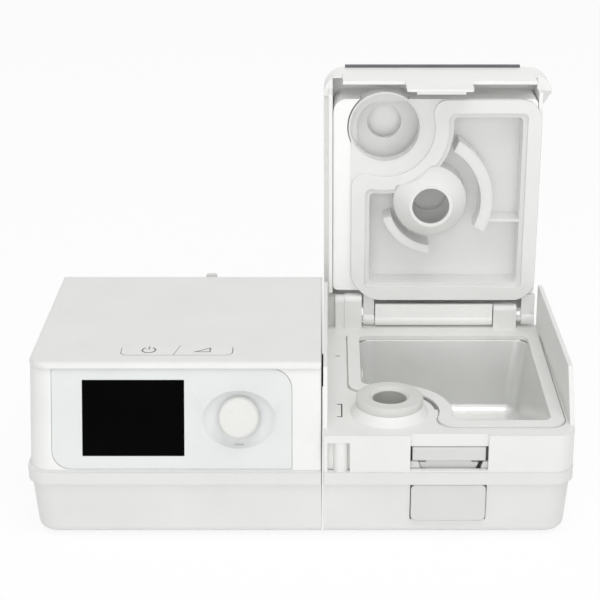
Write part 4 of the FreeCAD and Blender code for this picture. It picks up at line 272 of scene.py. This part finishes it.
def mark(name, path, width, place, body, look, closed=False):
    """Flat mark along a path: a strip of this width, laid on a surface by place(a, b, lift)."""
    count = len(path)
    mesh = bpy.data.meshes.new(name)
    points = [Vector(p) for p in path]
    sides = []
    for i, point in enumerate(points):
        last_one = points[i - 1] if i or closed else point
        next_one = points[(i + 1) % count] if i < count - 1 or closed else point
        into = ((point - last_one) if point != last_one else (next_one - point)).normalized()
        out = (next_one - point).normalized() if point != next_one else into
        across = Vector((-(into + out).y, (into + out).x)).normalized()
        reach = width / 2 / max(across.dot(Vector((-into.y, into.x))), MITRE_LEAST)
        sides.append((point + across * reach, point - across * reach))
    verts = [place(*side[k], lift) for side in sides for k in (0, 1) for lift in (MARK_LIFT, -MARK_LIFT)]
    faces = []
    spans = count if closed else count - 1
    for i in range(spans):
        a, b = 4 * i, 4 * ((i + 1) % count)
        faces += [(a, a + 2, b + 2, b), (a + 1, b + 1, b + 3, a + 3),
                  (a, b, b + 1, a + 1), (a + 2, a + 3, b + 3, b + 2)]
    if not closed:
        last = 4 * (count - 1)
        faces += [(0, 1, 3, 2), (last, last + 2, last + 3, last + 1)]
    mesh.from_pydata(verts, [], faces)
    mesh.validate()
    piece = add_piece(name, mesh, look)
    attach(piece, body)


def on_level(x, depth, z):
    """Place on a level surface, about a middle point."""
    return lambda a, b, lift: (x + a, y_at(depth) + b, z + lift)


def face_point(x, up, inward):
    """Point of the blower's leaning face, from its foot line: across, up the face and into it."""
    return (x, y_at(FACE_FOOT_DEPTH) + inward * cos(FACE_LEAN) + up * sin(FACE_LEAN),
            FACE_FOOT_Z - inward * sin(FACE_LEAN) + up * cos(FACE_LEAN))


def on_face(x, up, inward, slope):
    """Place on a slope down into the dish of the blower's leaning face."""
    def place(a, b, lift):
        return face_point(x + a, up + b * cos(slope) - lift * sin(slope),
                          inward - b * sin(slope) - lift * cos(slope))
    return place


# ---- front panel with its wide dish ----
PANEL_EDGE = (-0.131, -0.0045, 0.0008, 0.0539)      # left, right, lowest, highest, up the face
PANEL_RADII = (0.010, 0.001, 0.011, 0.001)          # from the lower left corner on
WINDOW = (-0.11495, -0.06115, 0.00765, 0.04805)
WINDOW_R = 0.0002
PLATE_THICK, BOWL_WALL = 0.0020, 0.0009
DISH_X, DISH_UP = -0.0323, 0.0270
DISH_WIDE, DISH_HIGH = 0.0193, 0.01535              # half widths
DISH_COUNT = 96
DISH_FLOOR = 0.0016                                 # how deep its floor lies
BOWL = ((0.992, 0.00008), (0.98, 0.00022), (0.96, 0.00042), (0.93, 0.00068), (0.89, 0.00096),
        (0.84, 0.00122), (0.78, 0.00144), (0.72, 0.00156), (0.66, DISH_FLOOR))      # share, depth
BOWL_BACK, FLOOR_BACK = 0.80, 0.70                  # the bowl's outside, as shares of the oval
BUSH_UP, BUSH_R = 0.0286, 0.00416
SHARP_FROM = radians(28)


def rounded(x0, x1, up0, up1, radii, steps=10):
    """Rectangle with these corner radii, from its lower left corner on."""
    middles = [(x0 + radii[0], up0 + radii[0]), (x1 - radii[1], up0 + radii[1]),
               (x1 - radii[2], up1 - radii[2]), (x0 + radii[3], up1 - radii[3])]
    path = []
    for k, ((mx, mu), radius) in enumerate(zip(middles, radii)):
        for i in range(steps + 1):
            turn = pi + pi / 2 * (k + i / steps)
            path.append((mx + radius * cos(turn), mu + radius * sin(turn)))
    return path


def ellipse(up, wide, high):
    angles = [2 * pi * i / DISH_COUNT for i in range(DISH_COUNT)]
    return [(DISH_X + wide * cos(a), up + high * sin(a)) for a in angles]


def oval(share, extra=0.0):
    """The dish's oval at this share of its size, and this much larger all round."""
    return ellipse(DISH_UP, DISH_WIDE * share + extra, DISH_HIGH * share + extra)


def front_plate():
    """Front panel: a thin plate with the display's window and a wide oval dish round the dial."""
    bm = bmesh.new()

    def loop(points, inward):
        return [bm.verts.new(face_point(x, up, inward)) for x, up in points]

    def band(a, b):
        for i in range(len(a)):
            bm.faces.new((a[i - 1], a[i], b[i], b[i - 1])).smooth = True

    def sheet(loops):
        verts = [v for ring in loops for v in ring]
        for triple in tessellate_polygon([[v.co for v in ring] for ring in loops]):
            bm.faces.new([verts[i] for i in triple])

    edge = rounded(*PANEL_EDGE, PANEL_RADII)
    window = rounded(*WINDOW, (WINDOW_R,) * 4, 1)
    bush = ellipse(BUSH_UP, BUSH_R, BUSH_R)
    front = [loop(edge, 0.0), loop(window, 0.0), loop(oval(1), 0.0)]
    back = [loop(points, PLATE_THICK) for points in (edge, window, oval(BOWL_BACK, BOWL_WALL))]
    sheet(front)
    sheet(back)
    band(front[0], back[0])
    band(front[1], back[1])
    under = DISH_FLOOR + BOWL_WALL
    bowl = [front[2]] + [loop(oval(share), inward) for share, inward in BOWL]
    bowl += [loop(bush, DISH_FLOOR), loop(bush, under), loop(oval(FLOOR_BACK, BOWL_WALL), under),
             back[2]]
    for a, b in zip(bowl, bowl[1:]):
        band(a, b)
    mesh = mesh_of(bm, "front_plate")
    mesh.set_sharp_from_angle(angle=SHARP_FROM)
    piece = add_piece("front_plate", mesh, "panel")
    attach(piece, "machine")
    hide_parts("front_panel")


POWER_X, RAMP_X, SIGN_DEPTH = -0.0810, -0.0522, 0.0350
RING_R = 0.0035


def icons():
    """Power and ramp signs on the two keys."""
    place = on_level(POWER_X, SIGN_DEPTH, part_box("power_key")[1][2])
    arc = [radians(122 + 296 * i / 40) for i in range(41)]
    ring = [(RING_R * cos(a), RING_R * sin(a)) for a in arc]
    mark("power_ring", ring, 0.0009, place, "power_key", "icon_and_gap_shade")
    mark("power_tick", [(0, 0.0008), (0, 0.0046)], 0.0008, place, "power_key", "icon_and_gap_shade")
    place = on_level(RAMP_X, SIGN_DEPTH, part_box("ramp_key")[1][2])
    wedge = [(-0.0039, -0.0023), (0.0039, -0.0023), (0.0039, 0.0027)]
    mark("ramp_wedge", wedge, 0.0008, place, "ramp_key", "icon_and_gap_shade", closed=True)


def dish_slot_shade():
    """Painted shade of a small slot low in the dial's dish, where the dish slopes down to its floor."""
    place = on_face(DISH_X, up=0.0134, inward=0.00092, slope=radians(26))
    mark("dish_slot_shade", [(-0.0024, 0), (0.0024, 0)], 0.0009, place, "machine", "shade")


GAP_R = 0.0256          # radius of the painted shade strip along the gap between the cuff and the tank's rim


def deck_marks():
    """Painted shade of small slots in the deck's strip beside the dock wall, and of the gap beside the
    tank's rim.
    """
    place = on_level(0.0206, 0.0315, DECK_TOP)
    bracket = [(-0.0013, 0.0077), (0.0013, 0.0077), (0.0013, -0.0077), (-0.0013, -0.0077)]
    # painted shade: black outline where a small slot is cut in the deck's strip
    mark("deck_slot_shade", bracket, 0.0007, place, "machine", "slot_shade")
    # painted shade: a grey dash for a small slot further back on the deck
    mark("deck_dash_shade", [(-0.0014, 0), (0.0014, 0)], 0.0016, on_level(0.0202, 0.104, DECK_TOP),
         "machine", "shade")
    beside_rim = [(GAP_R * cos(radians(a)), GAP_R * sin(radians(a))) for a in range(6, 45, 4)]
    # painted shade: a dark strip along the gap between the cuff and the tank's rim
    mark("deck_gap_shade", beside_rim, 0.0018, on_level(CUFF_X, CUFF_DEPTH, DECK_TOP), "machine", "icon_and_gap_shade")


SLOT_ENDS = (("left", 0.0570, 1), ("right", 0.1014, -1))     # side, edge, way to the slot's middle
WEB = [(0, 0.0406), (0.0066, 0.0406), (0.0052, 0.0451), (0, 0.0451)]      # from the edge, height
WEB_DEPTHS = (0.0039, 0.0050)
WEB_BEVEL = 0.0003


def slot_webs():
    """Webs behind the latch slot's two ends, clear of the latch bar and of the lid's catch."""
    for side, edge, turn in SLOT_ENDS:
        bm = bmesh.new()
        near, far = ([bm.verts.new((edge + turn * a, y_at(depth), z)) for a, z in WEB]
                     for depth in WEB_DEPTHS)
        bm.faces.new(near)
        bm.faces.new(far)
        for i in range(4):
            bm.faces.new((near[i - 1], near[i], far[i], far[i - 1]))
        bmesh.ops.bevel(bm, geom=bm.edges[:], offset=WEB_BEVEL, segments=2, affect="EDGES")
        piece = add_piece(f"slot_web_{side}", mesh_of(bm, f"slot_web_{side}"), "button")
        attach(piece, "machine")


front_plate()
slot_webs()
icons()
dish_slot_shade()
deck_marks()


# ---- studio ----
def area(name, place, aim, size, power):
    """White rectangular lamp: size in metres, power in watts."""
    data = bpy.data.lights.new(name, "AREA")
    data.shape = "RECTANGLE"
    data.size, data.size_y = size
    data.energy = power
    lamp = bpy.data.objects.new(name, data)
    lamp.location = place
    lamp.rotation_euler = (Vector(aim) - Vector(place)).to_track_quat("-Z", "Y").to_euler()
    bpy.context.scene.collection.objects.link(lamp)


def seen_rays(nt):
    """1 for the rays that show the background: straight to the camera, off gloss, or through glass."""
    path = nt.nodes.new("ShaderNodeLightPath")
    value = path.outputs["Is Camera Ray"]
    for ray in ("Is Glossy Ray", "Is Transmission Ray"):
        most = nt.nodes.new("ShaderNodeMath")
        most.operation = "MAXIMUM"
        link(nt, value, most.inputs[0])
        link(nt, path.outputs[ray], most.inputs[1])
        value = most.outputs["Value"]
    return value


def floor_material():
    """Pale sweep: lights the object as a pale floor does, and reads as near white to the camera."""
    mat = surface("floor", (0.86, 0.86, 0.86), (0.88, 0.88, 0.88), (0.6, 0.7),
                  grain=0.0, patch=3, edge=0)
    nt = mat.node_tree
    out = output_of(nt)
    glow = nt.nodes.new("ShaderNodeEmission")
    glow.inputs["Strength"].default_value = 1.0
    part = nt.nodes.new("ShaderNodeMixShader")
    part.inputs["Fac"].default_value = 0.88
    mix = nt.nodes.new("ShaderNodeMixShader")
    shader = nt.nodes["Principled BSDF"]
    white = nt.nodes.new("ShaderNodeBsdfDiffuse")
    white.inputs["Color"].default_value = (1, 1, 1, 1)
    link(nt, white.outputs["BSDF"], part.inputs[1])
    link(nt, glow.outputs["Emission"], part.inputs[2])
    link(nt, seen_rays(nt), mix.inputs["Fac"])
    link(nt, shader.outputs["BSDF"], mix.inputs[1])
    link(nt, part.outputs["Shader"], mix.inputs[2])
    link(nt, mix.outputs["Shader"], out.inputs["Surface"])
    return mat


def studio():
    bpy.ops.mesh.primitive_plane_add(size=40, location=(0, 0, 0))
    floor = bpy.context.object
    floor.name = "floor"
    floor.data.materials.append(floor_material())
    area("front", place=(-0.1, -2.0, 0.6), aim=(0.05, 0, 0.12), size=(1.9, 1.2), power=11.7)
    area("top", place=(0.3, -0.7, 1.9), aim=(0.05, 0, 0.08), size=(1.4, 1.2), power=12)
    world = bpy.data.worlds.new("studio")
    world.use_nodes = True
    bpy.context.scene.world = world
    nt = world.node_tree
    back = nt.nodes["Background"]
    back.inputs["Color"].default_value = (1, 1, 1, 1)
    back.inputs["Strength"].default_value = 0.6
    seen = nt.nodes.new("ShaderNodeBackground")
    seen.inputs["Color"].default_value = (1, 1, 1, 1)
    seen.inputs["Strength"].default_value = 1.0
    mix = nt.nodes.new("ShaderNodeMixShader")
    out = output_of(nt, "OUTPUT_WORLD")
    link(nt, seen_rays(nt), mix.inputs["Fac"])
    link(nt, back.outputs["Background"], mix.inputs[1])
    link(nt, seen.outputs["Background"], mix.inputs[2])
    link(nt, mix.outputs["Shader"], out.inputs["Surface"])


def camera():
    """Camera fitted to the photograph."""
    data = bpy.data.cameras.new("camera")
    data.lens = 94.5
    data.sensor_width = 36
    data.shift_x = -28 / 600        # pixels of the photograph's width
    data.clip_start = 0.02
    cam = bpy.data.objects.new("camera", data)
    cam.location = (0.0145, FRONT_Y - 0.7349, 0.432)
    cam.rotation_euler = (radians(68.2), 0, 0)
    bpy.context.scene.collection.objects.link(cam)
    bpy.context.scene.camera = cam


studio()
camera()
bpy.context.scene.view_settings.view_transform = "Standard"
